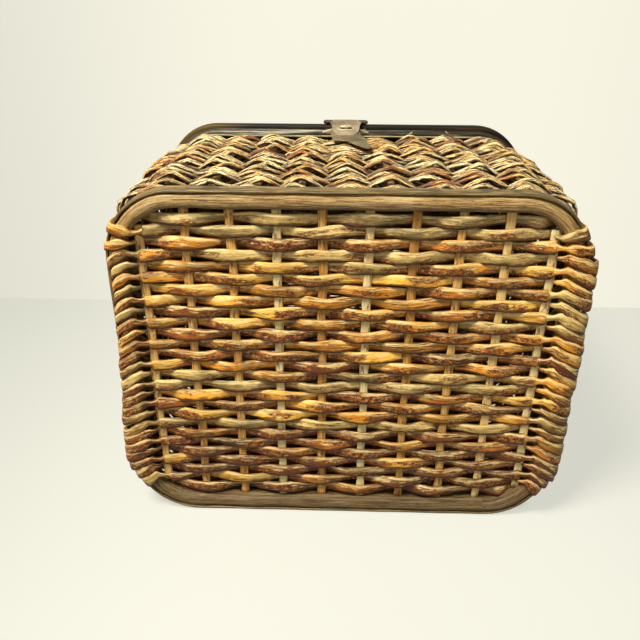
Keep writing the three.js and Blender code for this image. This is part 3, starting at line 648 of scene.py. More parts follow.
def paint_lid_rail(wire):
    """Dark bronze metal, olive at one corner."""
    rod = RodSurface(wire)
    patches = rod.noise(14, 1.4, 0, 4.0, 0.6)
    wear = rod.noise(60, 6.0, 5, 3.0, 0.7)
    colour = (patches * 0.85 + wear * 0.25).colour(
        [(0.42, tint(8, 5, 3)), (0.56, chosen("lid_rail")), (0.68, tint(64, 42, 18))]
    )
    olive = (OLIVE_X - wire.coordinates().part("X")).step(0.0, OLIVE_FADE) * 0.6
    return {
        "Base Color": wire.mix(olive, colour, tint(112, 90, 34)),
        "Metallic": 0.0,
        "Specular IOR Level": 0.3,
        "Roughness": 0.4 + wear * 0.25,
        "Normal": wire.bump(wear, 0.15, 0.0003),
    }


paint_clasp = metal(tint(122, 104, 78), tint(168, 150, 120), tint(204, 188, 156), 0.35, 0.3)
paint_tail = metal(tint(92, 80, 52), tint(134, 120, 86), tint(172, 156, 118), 0.4, 0.3)
paint_ears = metal(tint(150, 136, 96), tint(196, 184, 144), tint(226, 216, 180), 0.4, 0.2)
paint_fittings = metal(tint(40, 32, 22), tint(82, 68, 48), tint(134, 118, 90), 0.35, 0.4)


def dress(piece, name, paint):
    """Gives a piece its finish alone."""
    piece.data.materials.clear()
    piece.data.materials.append(finish_of(name, paint))


# Bottom


class BottomSettings(bpy.types.PropertyGroup):
    corner: bpy.props.FloatProperty(
        name="Corner", description="Outer corner radius of the rim", default=0.058, unit="LENGTH"
    )
    row_pitch: bpy.props.FloatProperty(
        name="Row pitch", description="From one row to the next", default=0.0104, unit="LENGTH"
    )
    wrapped: bpy.props.FloatProperty(
        name="Wrapped", description="Half the height over which rows wrap the hoop", default=0.126,
        unit="LENGTH",
    )
    crest: bpy.props.FloatProperty(
        name="Crest", description="Half a rod's width in front of a stake", default=0.0057, unit="LENGTH"
    )
    crossing: bpy.props.FloatProperty(
        name="Crossing", description="Half a rod's width halfway between stakes", default=0.0050,
        unit="LENGTH",
    )
    tuck: bpy.props.FloatProperty(
        name="Tuck", description="Half a rod's width behind a stake", default=0.0042, unit="LENGTH"
    )
    thickness: bpy.props.FloatProperty(
        name="Thickness", description="Half a rod's thickness", default=0.0017, unit="LENGTH"
    )
    lift: bpy.props.FloatProperty(
        name="Lift", description="How far a rod swings in front of the stakes", default=0.0031, unit="LENGTH"
    )


RIM_THICKNESS = 0.0028
RIM_BAND = Bar(RIM_THICKNESS / 2, 0.0074, 3.4, 16, 0.0002)
HOOP_THICKNESS = 0.013
HOOP_POLE = Bar(0.0067, 0.008, 3.0, 20, 0.0004)
# The hoop's corners are tighter than the rim's by this much
HOOP_CORNER_STEP = 0.0057
# The pole is drawn farther out than the CAD's by this much
HOOP_OUTWARD = 0.0028


def ring_stations(loop, y, bar):
    """Stations of a closed ring that follows an outline."""
    rng = random.Random(SEED)
    courses = [wander(rng, bar.sway, RING_WAVELENGTH) for _ in range(2)]
    length = loop_length(loop)
    stations = []
    for n in range(RING_STEPS + 1):
        share = (n % RING_STEPS) / RING_STEPS
        point, facing = loop_place(loop, share)
        point.y = y
        wide = bar.half_across + courses[0](share * length)
        deep = bar.half_along + courses[1](share * length)
        stations.append(Station(point, facing, wide, deep, PLAIN_TONE, PLAIN_TONE))
    return stations


def add_ring(name, loop, y, bar, body, slot, node, paint):
    """A ring of one section that follows an outline, in place of a CAD node."""
    bm = bmesh.new()
    lay_rod(bm, ring_stations(loop, y, bar), bar.sides, bar.squareness, True)
    dress(finish_mesh(name, bm, body, [node]), slot, paint)


def middle_y(node):
    low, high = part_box(node)
    return (low.y + high.y) / 2


def hoop_middle(settings):
    """The outline down the middle of the CAD's hoop."""
    return loop_of("base_hoop", HOOP_THICKNESS, settings.corner - HOOP_CORNER_STEP)


class BASKET_OT_bottom_hoop(bpy.types.Operator):
    """Adds the bent pole round the bottom and the band outside it."""

    bl_idname = "basket.bottom_hoop"
    bl_label = "Bottom hoop"

    def execute(self, context):
        settings = context.scene.basket_bottom
        rim = loop_of("base_rim", RIM_THICKNESS, settings.corner)
        level = middle_y("base_rim")
        add_ring("bottom_rim_band", rim, level, RIM_BAND, "basket", "rim_band", "base_rim", paint_band)
        pole = inside(hoop_middle(settings), -HOOP_OUTWARD)
        add_ring("bottom_hoop", pole, 0.0, HOOP_POLE, "basket", "hoop_pole", "base_hoop", paint_pole)
        return {"FINISHED"}


# The flat stakes of the bottom and the lid
STAKE_HALF_WIDTH = 0.0037
STAKE_HALF_THICKNESS = 0.0014
STAKE_SWAY = Stray(0.0006, 0.12)
STAKE_SWELL = Stray(0.00035, 0.05)
STAKE_STEPS = 60
STAKE_SIDES = 12
# The painted light of these stakes, so high that they are not painted darker
STAKE_LIGHT = 0.7


def stake_nodes(prefix):
    return sorted(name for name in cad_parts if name.startswith(prefix))


def stake_places(prefix):
    return [sum(corner.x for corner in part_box(node)) / 2 for node in stake_nodes(prefix)]


def add_stakes(prefix, name, body):
    """Flat stakes of a panel, one for each CAD stake, slightly bowed by the weave."""
    rng = random.Random(SEED + len(prefix))
    for n, node in enumerate(stake_nodes(prefix)):
        low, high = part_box(node)
        centre = (low + high) / 2
        bm = bmesh.new()
        sway = wander(rng, *STAKE_SWAY)
        swell = wander(rng, *STAKE_SWELL)
        shade = rng.random()
        stations = []
        for share in shares(STAKE_STEPS):
            z = blend(low.z, high.z, share)
            point = Vector((centre.x + sway(z), centre.y, z))
            half = STAKE_HALF_WIDTH + swell(z)
            stations.append(Station(point, X_AXIS, half, STAKE_HALF_THICKNESS, shade, STAKE_LIGHT))
        lay_rod(bm, stations, STAKE_SIDES, FLAT_STRIP)
        dress(finish_mesh(f"{name}_{n + 1:02d}", bm, body, [node]), "stake", paint_stakes)


class BASKET_OT_bottom_stakes(bpy.types.Operator):
    """Adds the flat stakes of the bottom."""

    bl_idname = "basket.bottom_stakes"
    bl_label = "Bottom stakes"

    def execute(self, context):
        add_stakes("base_stake_", "bottom_stake", "basket")
        return {"FINISHED"}


# The grey rows counted from the ground, the number of brown ones there, and the range of each kind's tones
GREY_ROWS = (7, 11, 12, 23, 25, 26)
BROWN_ROWS = 7
GREY_TONES = (0.02, 0.16)
BROWN_TONES = (0.86, 1.0)
AMBER_TONES = (0.36, 0.86)
# How far the tone of one stretch of a rod differs from its row's, and how often
TONE_SPREAD = 0.3
TONE_CHANCE = 0.75
# The share of a stretch over which its tone fades into the next one's
TONE_FADE = 0.06
# How a row strays in height, width and depth in metres, and how much it twists in radians
ROW_SWAY = Stray(0.0008, 0.08)
ROW_SWELL = Stray(0.0006, 0.05)
ROW_DEPTH = Stray(0.0005, 0.07)
ROW_TWIST = Stray(0.3, 0.11)
ROW_SIDES = 14
ROW_SQUARENESS = 3.2
STEPS_BETWEEN_STAKES = 12
# Rows stop this far inside the hoop's opening, and those that don't wrap it are tucked as far behind it
ROW_MARGIN = 0.006
TUCKED_Y = 0.0055
TUCKED_PHASE = -0.3
TUCKED_STEPS = 6


def row_shade(rng, row):
    """The tone of a row: brown at the bottom, amber in the middle, with grey rows here and there."""
    if row in GREY_ROWS:
        return rng.uniform(*GREY_TONES)
    if row < BROWN_ROWS:
        return rng.uniform(*BROWN_TONES)
    return rng.uniform(*AMBER_TONES)


def float_tones(rng, row_tone, floats):
    """A tone for each stretch of a rod that shows in front of a stake."""
    return {
        k: clamp(row_tone + rng.uniform(-TONE_SPREAD, TONE_SPREAD) * (rng.random() < TONE_CHANCE))
        for k in floats
    }


def faded(tones, spot):
    """The tone at a place along a rod, whose stretches are one apart."""
    k = math.floor(spot)
    edge = spot - k
    tone = tones[k]
    if edge < TONE_FADE:
        share = smooth((TONE_FADE - edge) / (2 * TONE_FADE) + 0.5) - 0.5
        tone += (tones.get(k - 1, tone) - tone) * share
    if edge > 1 - TONE_FADE:
        share = smooth((edge - (1 - TONE_FADE)) / (2 * TONE_FADE))
        tone += (tones.get(k + 1, tone) - tone) * share
    return tone


def weave_profile(settings, phase):
    """Half a rod's width where the cosine of its course past the stakes is phase, 1 in front."""
    if phase >= 0:
        return blend(settings.crossing, settings.crest, phase)
    return blend(settings.crossing, settings.tuck, -phase)


def bottom_row(settings, rng, row, z, places, opening, pole):
    """Stations of one row of the bottom, from its left end to its right end."""
    pitch = places[1] - places[0]
    reach = half_width_at(opening, z)
    behind = 1 - row % 2
    stretches = range(-2, len(places) - 1)
    shades = float_tones(rng, row_shade(rng, row), stretches)
    lights = {k: rng.random() for k in stretches}
    sway = wander(rng, *ROW_SWAY)
    swell = wander(rng, *ROW_SWELL)
    depth = wander(rng, *ROW_DEPTH)
    twist = wander(rng, *ROW_TWIST)

    def station(x, y, phase):
        past = min(len(places) - 0.5, max(-0.5, (x - places[0]) / pitch))
        spot = (past - behind + 1) / 2
        half = weave_profile(settings, phase) + swell(x)
        place = Vector((x, y + depth(x), z + sway(x)))
        across = Matrix.Rotation(twist(x), 3, X_AXIS) @ Z_AXIS
        return Station(place, across, half, settings.thickness, faded(shades, spot), faded(lights, spot))

    inner = min(places[-1], reach - ROW_MARGIN)
    middle = []
    for share in shares(2 * round(inner / (pitch / STEPS_BETWEEN_STAKES))):
        x = inner * (2 * share - 1)
        phase = math.cos(math.pi * ((x - places[0]) / pitch - behind))
        middle.append(station(x, -settings.lift * phase, phase))
    if abs(z - opening.centre_z) <= settings.wrapped:
        left, right = (row_wrap(settings, rng, z, side, middle, opening, pole) for side in (-1, 1))
        return left[::-1] + middle + right

    def tucked_end(side, near):
        end = []
        for share in shares(TUCKED_STEPS, 1):
            x = blend(near.x, side * (reach + ROW_MARGIN), share)
            y = blend(near.y, TUCKED_Y, smooth(share))
            end.append(station(x, y, TUCKED_PHASE * share))
        return end

    left = tucked_end(-1, middle[0].centre)
    middle = left[::-1] + middle
    return middle + tucked_end(1, middle[-1].centre)


WRAP_SQUARENESS = 2.5
WRAP_TONES = (0.08, 0.24, 0.4, 0.66, 0.8, 0.9, 0.94)
WRAP_TONE_SPREAD = 0.06
# The turn of a wrap round the hoop from the inside over the front to the outside and back, in degrees
WRAP_START = 134
WRAP_STEP = 10.3
WRAP_STEPS = 26
# Half the size of a wrap's turn, sideways and along Y, and half its own thickness
WRAP_REACH = 0.0108
WRAP_DEPTH = 0.0099
WRAP_HALF_THICKNESS = 0.0021
# Half the width of a wrap, and the share of it where it starts
WRAP_HALF_WIDTH = 0.0057
WRAP_WIDTH_SPREAD = 0.0011
WRAP_NECK_SHARE = 0.62
WRAP_NECK_STEPS = 4
# How far the wraps stand out, how much less on the left towards the top, and what is left at the corners
WRAP_BULK = 0.0060
WRAP_BULK_SPREAD = 0.0010
LEFT_TAPER = 0.0105
LEFT_TAPER_FROM = 0.05
LEFT_TAPER_OVER = 0.2
CORNER_SINK = 0.001
# Where the wraps grow slimmer towards the corners of the hoop, from its middle
CORNER_FROM = 0.095
CORNER_OVER = 0.03
# How far a wrap drops as it goes round, in rows, and where it starts above its row
WRAP_DROP_ROWS = 1.15
WRAP_DROP_SPREAD = 0.2
CORNER_DROP_SHARE = 0.6
WRAP_DROP_STEPS = 11
WRAP_RISE = 0.0036
WRAP_SKEW = 0.0030
WRAP_SKEW_STEPS = 16
WRAP_LOOSE = Stray(0.0007, 0.03)
# How far along its random course a wrap gets with each step, for its depth and for its width
LOOSE_DEPTH_STEP = 0.002
LOOSE_WIDTH_FROM = 0.1
LOOSE_WIDTH_STEP = 0.0035
# The stretch between a row and its wrap
JOINT_STEPS = 6
JOINT_NARROWING = 0.5
JOINT_HALF_THICKNESS = 0.0017
# The end of a wrap on the inside
END_STEPS = 5
END_LENGTH = 0.013
END_Y = 0.0078
END_HALF_WIDTH = 0.0042
END_TAPER = 0.001
END_HALF_THICKNESS = 0.0016


def row_wrap(settings, rng, z, side, middle, opening, pole):
    """Stations that lead from a row's end once round the hoop, and end inside the basket."""
    near = middle[0] if side < 0 else middle[-1]
    height = z - opening.centre_z
    past = abs(height) - (pole.half_z - pole.radius)
    lean = math.asin(max(0.0, past) / pole.radius) * math.copysign(1, height)
    facing = Vector((side * math.cos(lean), 0, math.sin(lean)))
    upward = Vector((-side * math.sin(lean), 0, math.cos(lean)))
    corner = Vector((side * (pole.half_x - pole.radius), 0, z - pole.radius * math.sin(lean)))
    centre = corner + facing * pole.radius
    cornered = smooth((abs(height) - CORNER_FROM) / CORNER_OVER)
    drop = settings.row_pitch * (WRAP_DROP_ROWS + WRAP_DROP_SPREAD * rng.uniform(-1, 1))
    drop *= 1 - CORNER_DROP_SHARE * cornered
    fat = WRAP_HALF_WIDTH + WRAP_WIDTH_SPREAD * rng.uniform(-1, 1)
    taper = LEFT_TAPER * smooth((z - LEFT_TAPER_FROM) / LEFT_TAPER_OVER) if side < 0 else 0.0
    bulk = WRAP_BULK - taper + WRAP_BULK_SPREAD * rng.uniform(-1, 1)
    bulk = blend(bulk, -CORNER_SINK, cornered)
    skew = WRAP_SKEW * rng.uniform(-1, 1)
    loose = wander(rng, *WRAP_LOOSE)
    shade = rng.choice(WRAP_TONES) + rng.uniform(0, WRAP_TONE_SPREAD)
    light = rng.random()

    turn = []
    for n in range(WRAP_STEPS + 1):
        out, forward = superellipse(math.radians(WRAP_START - WRAP_STEP * n), WRAP_SQUARENESS)
        rise = WRAP_RISE - drop * smooth(n / WRAP_DROP_STEPS) + skew * n / WRAP_SKEW_STEPS
        place = centre + facing * (WRAP_REACH * out + bulk * smooth(out)) + upward * rise
        place.y = loose(n * LOOSE_DEPTH_STEP) - WRAP_DEPTH * forward
        half = fat * blend(WRAP_NECK_SHARE, 1, smooth(n / WRAP_NECK_STEPS))
        half += loose(LOOSE_WIDTH_FROM + n * LOOSE_WIDTH_STEP)
        turn.append(Station(place, upward, half, WRAP_HALF_THICKNESS, shade, light))

    first, last = turn[0], turn[-1].centre
    joint = []
    for share in shares(JOINT_STEPS, 1)[:-1]:
        place = near.centre.lerp(first.centre, share)
        place.y = blend(near.centre.y, first.centre.y, smooth(share))
        half = blend(near.half_width, first.half_width, share)
        half *= 1 - JOINT_NARROWING * math.sin(math.pi * share)
        joint.append(Station(place, upward, half, JOINT_HALF_THICKNESS, shade, light))
    end = []
    for share in shares(END_STEPS, 1):
        place = Vector((last.x - side * END_LENGTH * share, blend(last.y, END_Y, smooth(share)), last.z))
        half = END_HALF_WIDTH - END_TAPER * share
        end.append(Station(place, Z_AXIS, half, END_HALF_THICKNESS, shade, PLAIN_TONE))
    return joint + turn + end


# The height of one row of the CAD's bottom
CAD_ROW_HEIGHT = 0.0085


class BASKET_OT_bottom_weave(bpy.types.Operator):
    """Adds the rows of the bottom, whose ends wrap round the hoop."""

    bl_idname = "basket.bottom_weave"
    bl_label = "Bottom weave"

    def execute(self, context):
        settings = context.scene.basket_bottom
        rng = random.Random(SEED)
        places = stake_places("base_stake_")
        opening = inside(hoop_middle(settings), HOOP_THICKNESS / 2)
        low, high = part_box("base_weave")
        rows = round((high.z - low.z - CAD_ROW_HEIGHT) / settings.row_pitch) + 1
        rim = loop_of("base_rim", 0, settings.corner)
        pole = inside(rim, (rim.half_x - opening.half_x) / 2)
        bm = bmesh.new()
        for row in range(rows):
            z = opening.centre_z + (row - (rows - 1) / 2) * settings.row_pitch
            lay_rod(bm, bottom_row(settings, rng, row, z, places, opening, pole), ROW_SIDES, ROW_SQUARENESS)
        weave = finish_mesh("bottom_weave", bm, "basket", ["base_weave"])
        dress(weave, "panel_rods", paint_panel_rods)
        return {"FINISHED"}


# Wall


class WallSettings(bpy.types.PropertyGroup):
    stakes: bpy.props.IntProperty(name="Stakes", description="Stakes round the wall", default=35)
    turns: bpy.props.IntProperty(name="Turns", description="Turns of three rods", default=14)
    lift: bpy.props.FloatProperty(
        name="Lift", description="How far a rod swings outside the stakes", default=0.0088, unit="LENGTH"
    )
    half_width: bpy.props.FloatProperty(
        name="Half width", description="Half a rod's width", default=0.0026, unit="LENGTH"
    )
    half_thickness: bpy.props.FloatProperty(
        name="Half thickness", description="Half a rod's thickness", default=0.0019, unit="LENGTH"
    )


# The wall's outline along its stakes beside the bottom and at the mouth
FRONT = Loop(0.1875, 0.1525, 0.040, 0.160)
MOUTH = Loop(0.1855, 0.1450, 0.0425, 0.1608)
FRONT_Y = 0.008
MOUTH_Y = 0.237
# How far the wall bulges halfway, fading over this share of the way to the side that the basket lies on
WALL_BULGE = 0.005
BULGE_FADE = 0.5


def wall_place(share, y, offset):
    """A point on the wall and the way it faces."""
    depth = (y - FRONT_Y) / (MOUTH_Y - FRONT_Y)
    point, facing = loop_place(between(FRONT, MOUTH, depth), share)
    bulge = 4 * WALL_BULGE * depth * (1 - depth) * smooth((facing.z + 1) / BULGE_FADE)
    point = point + facing * (offset + bulge)
    point.y = y
    return point, facing


# The flat stakes of the wall
WALL_STAKE_HALF_WIDTH = 0.0031
WALL_STAKE_HALF_THICKNESS = 0.0013
WALL_STAKE_STEPS = 40
WALL_STAKE_SIDES = 10
# Stakes start farther in where the wraps of the bottom's rows turn round the hoop
STAKE_START_Y = 0.0083
STAKE_START_AT_WRAPS_Y = 0.0127
STAKE_END_Y = 0.2412
WRAPS_HALF_HEIGHT = 0.11
# Painted shade on the stakes between the rods: the light left on them, and from where on and over what
# length it rises from none where they start by the hoop
WALL_STAKE_PAINTED_LIGHT = 0.2
PAINTED_LIT_FROM_Y = 0.018
PAINTED_LIT_OVER = 0.012
# The reed under the rail, and how far outside the mouth's outline it runs
REED = Bar(0.0009, 0.0014, 2.4, 10, 0.0)
REED_Y = 0.2345
REED_OUTWARD = 0.0048


class BASKET_OT_wall_stakes(bpy.types.Operator):
    """Adds the stakes of the wall and the pale reed under the rail."""

    bl_idname = "basket.wall_stakes"
    bl_label = "Wall stakes"

    def execute(self, context):
        settings = context.scene.basket_wall
        rng = random.Random(SEED + 1)
        bm = bmesh.new()
        for n in range(settings.stakes):
            round_share = (n + 0.5) / settings.stakes
            shade = rng.random()
            height = wall_place(round_share, FRONT_Y, 0)[0].z - FRONT.centre_z
            start = STAKE_START_AT_WRAPS_Y if abs(height) < WRAPS_HALF_HEIGHT else STAKE_START_Y
            stations = []
            for share in shares(WALL_STAKE_STEPS):
                y = blend(start, STAKE_END_Y, share)
                point, facing = wall_place(round_share, y, 0)
                across = facing.cross(Y_AXIS).normalized()
                # Painted shade: the stake's light is low between the rods and none by the hoop
                light = WALL_STAKE_PAINTED_LIGHT * smooth((y - PAINTED_LIT_FROM_Y) / PAINTED_LIT_OVER)
                half_sizes = (WALL_STAKE_HALF_WIDTH, WALL_STAKE_HALF_THICKNESS)
                stations.append(Station(point, across, *half_sizes, shade, light))
            lay_rod(bm, stations, WALL_STAKE_SIDES, FLAT_STRIP)
        reed = bmesh.new()
        round_mouth = ring_stations(inside(MOUTH, -REED_OUTWARD), REED_Y, REED)
        lay_rod(reed, round_mouth, REED.sides, REED.squareness, True)
        dress(finish_mesh("wall_reed", reed, "basket", ["wall_stakes"]), "reed", paint_reed)
        dress(finish_mesh("wall_uprights", bm, "basket", ["wall_stakes"]), "stake", paint_stakes)
        return {"FINISHED"}


# Where the keeper's tail presses the rods down: its middle, half its width, where it starts, and the edges
KEEPER_X = 0.005
KEEPER_HALF_WIDTH = 0.034
KEEPER_FROM_Y = 0.122
KEEPER_EDGES = (0.01, 0.015)
CLASP_SIDE_Z = 0.29


def under_keeper(point):
    """1 where the keeper's tail presses the rods down, 0 away from it."""
    if point.z < CLASP_SIDE_Z:
        return 0.0
    beside = (KEEPER_HALF_WIDTH - abs(point.x - KEEPER_X)) / KEEPER_EDGES[0]
    return smooth(beside) * smooth((point.y - KEEPER_FROM_Y) / KEEPER_EDGES[1])


# The three rods, and where the first and the last of their turns lie
WALL_LANES = {"near": -1, "middle": 0, "far": 1}
WALL_FROM_Y = 0.0195
WALL_TO_Y = 0.2235
STEPS_BETWEEN_WALL_STAKES = 8
WALL_SIDES = 8
# How square a thin rod is
ROUND_ROD = 2.1
# How much a wall rod's height, depth and width stray, and where its crests are off their stakes, in stakes
WALL_SWAY = 0.0011
WALL_DEPTH = 0.0009
WALL_SWELL = 0.0006
WALL_ASKEW = 0.2
# How far the rods swing in front of the stakes and behind them, as shares of the lift
CREST_SHARES = (0.66, 1.14)
HOLLOW_SHARE = 0.8
# The lift is less under the rail
RAIL_SIDE_LOSS = 0.1
RAIL_SIDE_Y = 0.185
RAIL_SIDE_OVER = 0.035
# How much of a rod's course is straight between its crests
STRAIGHT_SHARE = 0.7
# The part of a turn over which it steps on to the next one
STEP_FROM = 0.74
STEP_OVER = 0.24
# How far inside the line of the stakes the rods' course lies, and how much of it the keeper presses away
INWARD = 0.0016
PRESSED_SHARE = 0.5
# Below this the wall faces the ground, which its rods stay clear of
GROUND_FACING = -0.3
GROUND_GAP = 0.0004
# How much wider a rod is on its crests and in its hollows, and how much narrower between them
CREST_WIDENING = 0.0009
CROSSING_NARROWING = 0.0004
# A rod's painted light and shade: the share of its own random tone in it, and how it grows with its swing,
# so that the rod is painted dark in the hollows
OWN_LIGHT_SHARE = 0.35
LIGHT_BASE = 0.25
LIGHT_SWING = 0.9


def wall_rod(settings, rng, lane):
    """Stations of one of the three rods that go round the wall side by side."""
    total = settings.turns * settings.stakes
    sway = rippled(rng, WALL_SWAY, total)
    depth = rippled(rng, WALL_DEPTH, total)
    swell = rippled(rng, WALL_SWELL, total)
    askew = rippled(rng, WALL_ASKEW, total)
    lifts = [rng.uniform(*CREST_SHARES) for _ in range(total + 2)]
    tones = [rng.random() for _ in range(total + 2)]
    lights = [rng.random() for _ in range(total + 2)]
    pitch = (WALL_TO_Y - WALL_FROM_Y) / (settings.turns - 1)
    stations = []
    for n in range(total * STEPS_BETWEEN_WALL_STAKES + 1):
        t = n / STEPS_BETWEEN_WALL_STAKES
        turn, share = divmod(t / settings.stakes, 1)
        step = smooth((share - STEP_FROM) / STEP_OVER) if turn < settings.turns - 1 else 0.0
        y = WALL_FROM_Y + pitch * (turn + step)
        peak = t + lane + askew(t)
        swing = blend(math.cos(math.pi * peak), 2 * abs(peak % 2 - 1) - 1, STRAIGHT_SHARE)
        reach = settings.lift * (lifts[round(t)] if swing > 0 else HOLLOW_SHARE)
        reach *= 1 - RAIL_SIDE_LOSS * smooth((y - RAIL_SIDE_Y) / RAIL_SIDE_OVER)
        point, facing = wall_place(share + 0.5 / settings.stakes, y + lane * pitch / 3 + sway(t), 0)
        outer = (swing * reach + depth(t) - INWARD) * (1 - PRESSED_SHARE * under_keeper(point))
        if facing.z < GROUND_FACING:
            outer = min(outer, (point.z - settings.half_thickness - GROUND_GAP) / -facing.z)
        point = point + facing * outer
        stretch = math.floor((t + lane + 1) / 2) % total
        narrowing = CROSSING_NARROWING * (1 - abs(swing))
        half = settings.half_width + CREST_WIDENING * abs(swing) - narrowing + swell(t)
        # Painted light and shade: bright where the rod swings out and dark where it dives, blended with the
        # stretch's own random tone
        light = blend(smooth(LIGHT_BASE + LIGHT_SWING * swing), lights[stretch], OWN_LIGHT_SHARE)
        stations.append(Station(point, Y_AXIS, half, settings.half_thickness, tones[stretch], light))
    return stations


class BASKET_OT_wall_weave(bpy.types.Operator):
    """Adds the rods of the wall, three side by side."""

    bl_idname = "basket.wall_weave"
    bl_label = "Wall weave"

    def execute(self, context):
        settings = context.scene.basket_wall
        rng = random.Random(SEED + 2)
        for name, lane in WALL_LANES.items():
            bm = bmesh.new()
            lay_rod(bm, wall_rod(settings, rng, lane), WALL_SIDES, ROUND_ROD)
            piece = finish_mesh(f"wall_rod_{name}", bm, "basket", ["wall_weave"])
            dress(piece, "wall_rods", paint_wall_rods)
        return {"FINISHED"}


# Rails, lid and fittings


RAIL_THICKNESS = 0.016
RAIL_CORNER = 0.056
RAIL_SIDES = 28
# The body's rail is lower at the top and narrower than the CAD's, so that the lid's rail shows behind it
BODY_RAIL_TOP_STEP = 0.0037
BODY_RAIL_SIDE_STEP = 0.002
BODY_RAIL_SQUARENESS = 3.5
LID_RAIL_SQUARENESS = 5.0


def add_rail(node, name, body, squareness, top_step, side_step, paint):
    """The metal rail of the mouth or the lid."""
    low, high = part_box(node)
    middle = loop_of(node, RAIL_THICKNESS, RAIL_CORNER)
    half_z = middle.half_z - top_step / 2
    outline = Loop(middle.half_x - side_step, half_z, middle.radius, middle.centre_z - top_step / 2)
    bar = Bar(RAIL_THICKNESS / 2, (high.y - low.y) / 2, squareness, RAIL_SIDES, 0.0)
    add_ring(name, outline, middle_y(node), bar, body, name, node, paint)


class BASKET_OT_rails(bpy.types.Operator):
    """Adds the metal rails of the mouth and the lid."""

    bl_idname = "basket.rails"
    bl_label = "Rails"

    def execute(self, context):
        steps = (BODY_RAIL_TOP_STEP, BODY_RAIL_SIDE_STEP)
        add_rail("body_frame", "body_rail", "basket", BODY_RAIL_SQUARENESS, *steps, paint_body_rail)
        add_rail("lid_frame", "lid_rail", "lid", LID_RAIL_SQUARENESS, 0.0, 0.0, paint_lid_rail)
        return {"FINISHED"}


LID_ROW_PITCH = 0.0152
# The height of one row of the CAD's lid
CAD_LID_ROW_HEIGHT = 0.0125
# From one of a row's three rods to the next, and where the opening's width is taken for them
LID_ROD_PITCH = 0.00507
LID_REACH_PITCH = 0.0048
LID_END_GAP = 0.0005
LID_SWAY = Stray(0.0004, 0.1)
LID_LIFT = 0.0040
# The swing dies down to this share over this length towards the ends of a rod
LID_END_SHARE = 0.2
LID_END_OVER = 0.01
LID_HALF_WIDTH = 0.0032
LID_HALF_THICKNESS = 0.0018
LID_STRETCHES = 8
LID_STEPS_BETWEEN_STAKES = 10


class BASKET_OT_lid_panel(bpy.types.Operator):
    """Adds the stakes and the weave of the lid."""

    bl_idname = "basket.lid_panel"
    bl_label = "Lid panel"

    def execute(self, context):
        add_stakes("lid_stake_", "lid_upright", "lid")
        rng = random.Random(SEED + 3)
        places = stake_places("lid_stake_")
        spacing = places[1] - places[0]
        low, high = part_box("lid_weave")
        opening = inside(loop_of("lid_frame", RAIL_THICKNESS, RAIL_CORNER), RAIL_THICKNESS / 2)
        rows = round((high.z - low.z - CAD_LID_ROW_HEIGHT) / LID_ROW_PITCH) + 1
        level = middle_y("lid_weave")
        bm = bmesh.new()
        for row in range(rows):
            centre_z = opening.centre_z + (row - (rows - 1) / 2) * LID_ROW_PITCH
            for lane in (-1, 0, 1):
                sway = wander(rng, *LID_SWAY)
                tones = [rng.random() for _ in range(LID_STRETCHES)]
                reach = half_width_at(opening, centre_z + lane * LID_REACH_PITCH) - LID_END_GAP
                stations = []
                for share in shares(2 * round(reach / (spacing / LID_STEPS_BETWEEN_STAKES))):
                    x = reach * (2 * share - 1)
                    t = (x - places[0]) / spacing + row + lane
                    swing = math.cos(math.pi * t)
                    ending = min(1.0, (reach - abs(x)) / LID_END_OVER + LID_END_SHARE)
                    y = level + LID_LIFT * swing * ending
                    place = Vector((x, y, centre_z + lane * LID_ROD_PITCH + sway(x)))
                    k = math.floor((t + 1) / 2) % LID_STRETCHES
                    half = LID_HALF_WIDTH + CREST_WIDENING * abs(swing)
                    stations.append(Station(place, Z_AXIS, half, LID_HALF_THICKNESS, tones[k], tones[k - 1]))
                lay_rod(bm, stations, WALL_SIDES, ROUND_ROD)
        weave = finish_mesh("lid_weave_rods", bm, "lid", ["lid_weave"])
        dress(weave, "wall_rods", paint_wall_rods)
        return {"FINISHED"}


def course(points, place):
    """The height at a place on a line of straight stretches through points."""
    for (x0, y0), (x1, y1) in zip(points, points[1:]):
        if place <= x1:
            return blend(y0, y1, (place - x0) / (x1 - x0))
    return points[-1][1]


def lay_all(name, rods, body, nodes, paint, sides, power):
    """One piece made of rods, each a list of stations."""
    bm = bmesh.new()
    for stations in rods:
        lay_rod(bm, stations, sides, power)
    dress(finish_mesh(name, bm, body, nodes), name, paint)


def round_section(place, radius):
    """A round section of a rod that lies along X."""
    return Station(place, Z_AXIS, radius, radius, PLAIN_TONE, PLAIN_TONE)


class ClaspSettings(bpy.types.PropertyGroup):
    tilt: bpy.props.FloatProperty(
        name="Tilt", description="How far the closed strap slopes", default=math.radians(6.92),
        subtype="ANGLE",
    )
    strap_rise: bpy.props.FloatProperty(
        name="Strap rise", description="Middle of the strap above the pin", default=0.0016, unit="LENGTH"
    )
    sheet: bpy.props.FloatProperty(
        name="Sheet", description="Thickness of the strap", default=0.0012, unit="LENGTH"
    )
    knob_from_pin: bpy.props.FloatProperty(
        name="Knob", description="From the pin to the turn button", default=0.0293, unit="LENGTH"
    )
    plate_z: bpy.props.FloatProperty(
        name="Plate", description="Height of the keeper's plate", default=0.3172, unit="LENGTH"
    )


# The strap's outline from the middle of its upper edge, right half, in metres
STRAP_EDGE = (
    (0.0, -0.0003), (0.0150, -0.0035), (0.0146, -0.018), (0.0136, -0.032),
    (0.0112, -0.042), (0.0060, -0.0485), (0.0, -0.050),
)
FILL_GAP = 1e-6
BEVEL_SHARE = 0.3
BEVEL_STEPS = 2
CURVE_STEPS = 6
SLOT_POINTS = 24
SLOT_HALF_LENGTH = 0.0081
SLOT_HALF_WIDTH = 0.0040
# The lip round the slot: half its length and width, its height over the strap, and its section
LIP_STEPS = 48
LIP_SIDES = 10
LIP_HALF_LENGTH = 0.0086
LIP_HALF_WIDTH = 0.0046
LIP_RISE = 0.0008
LIP_SECTION = (0.0009, 0.0008)
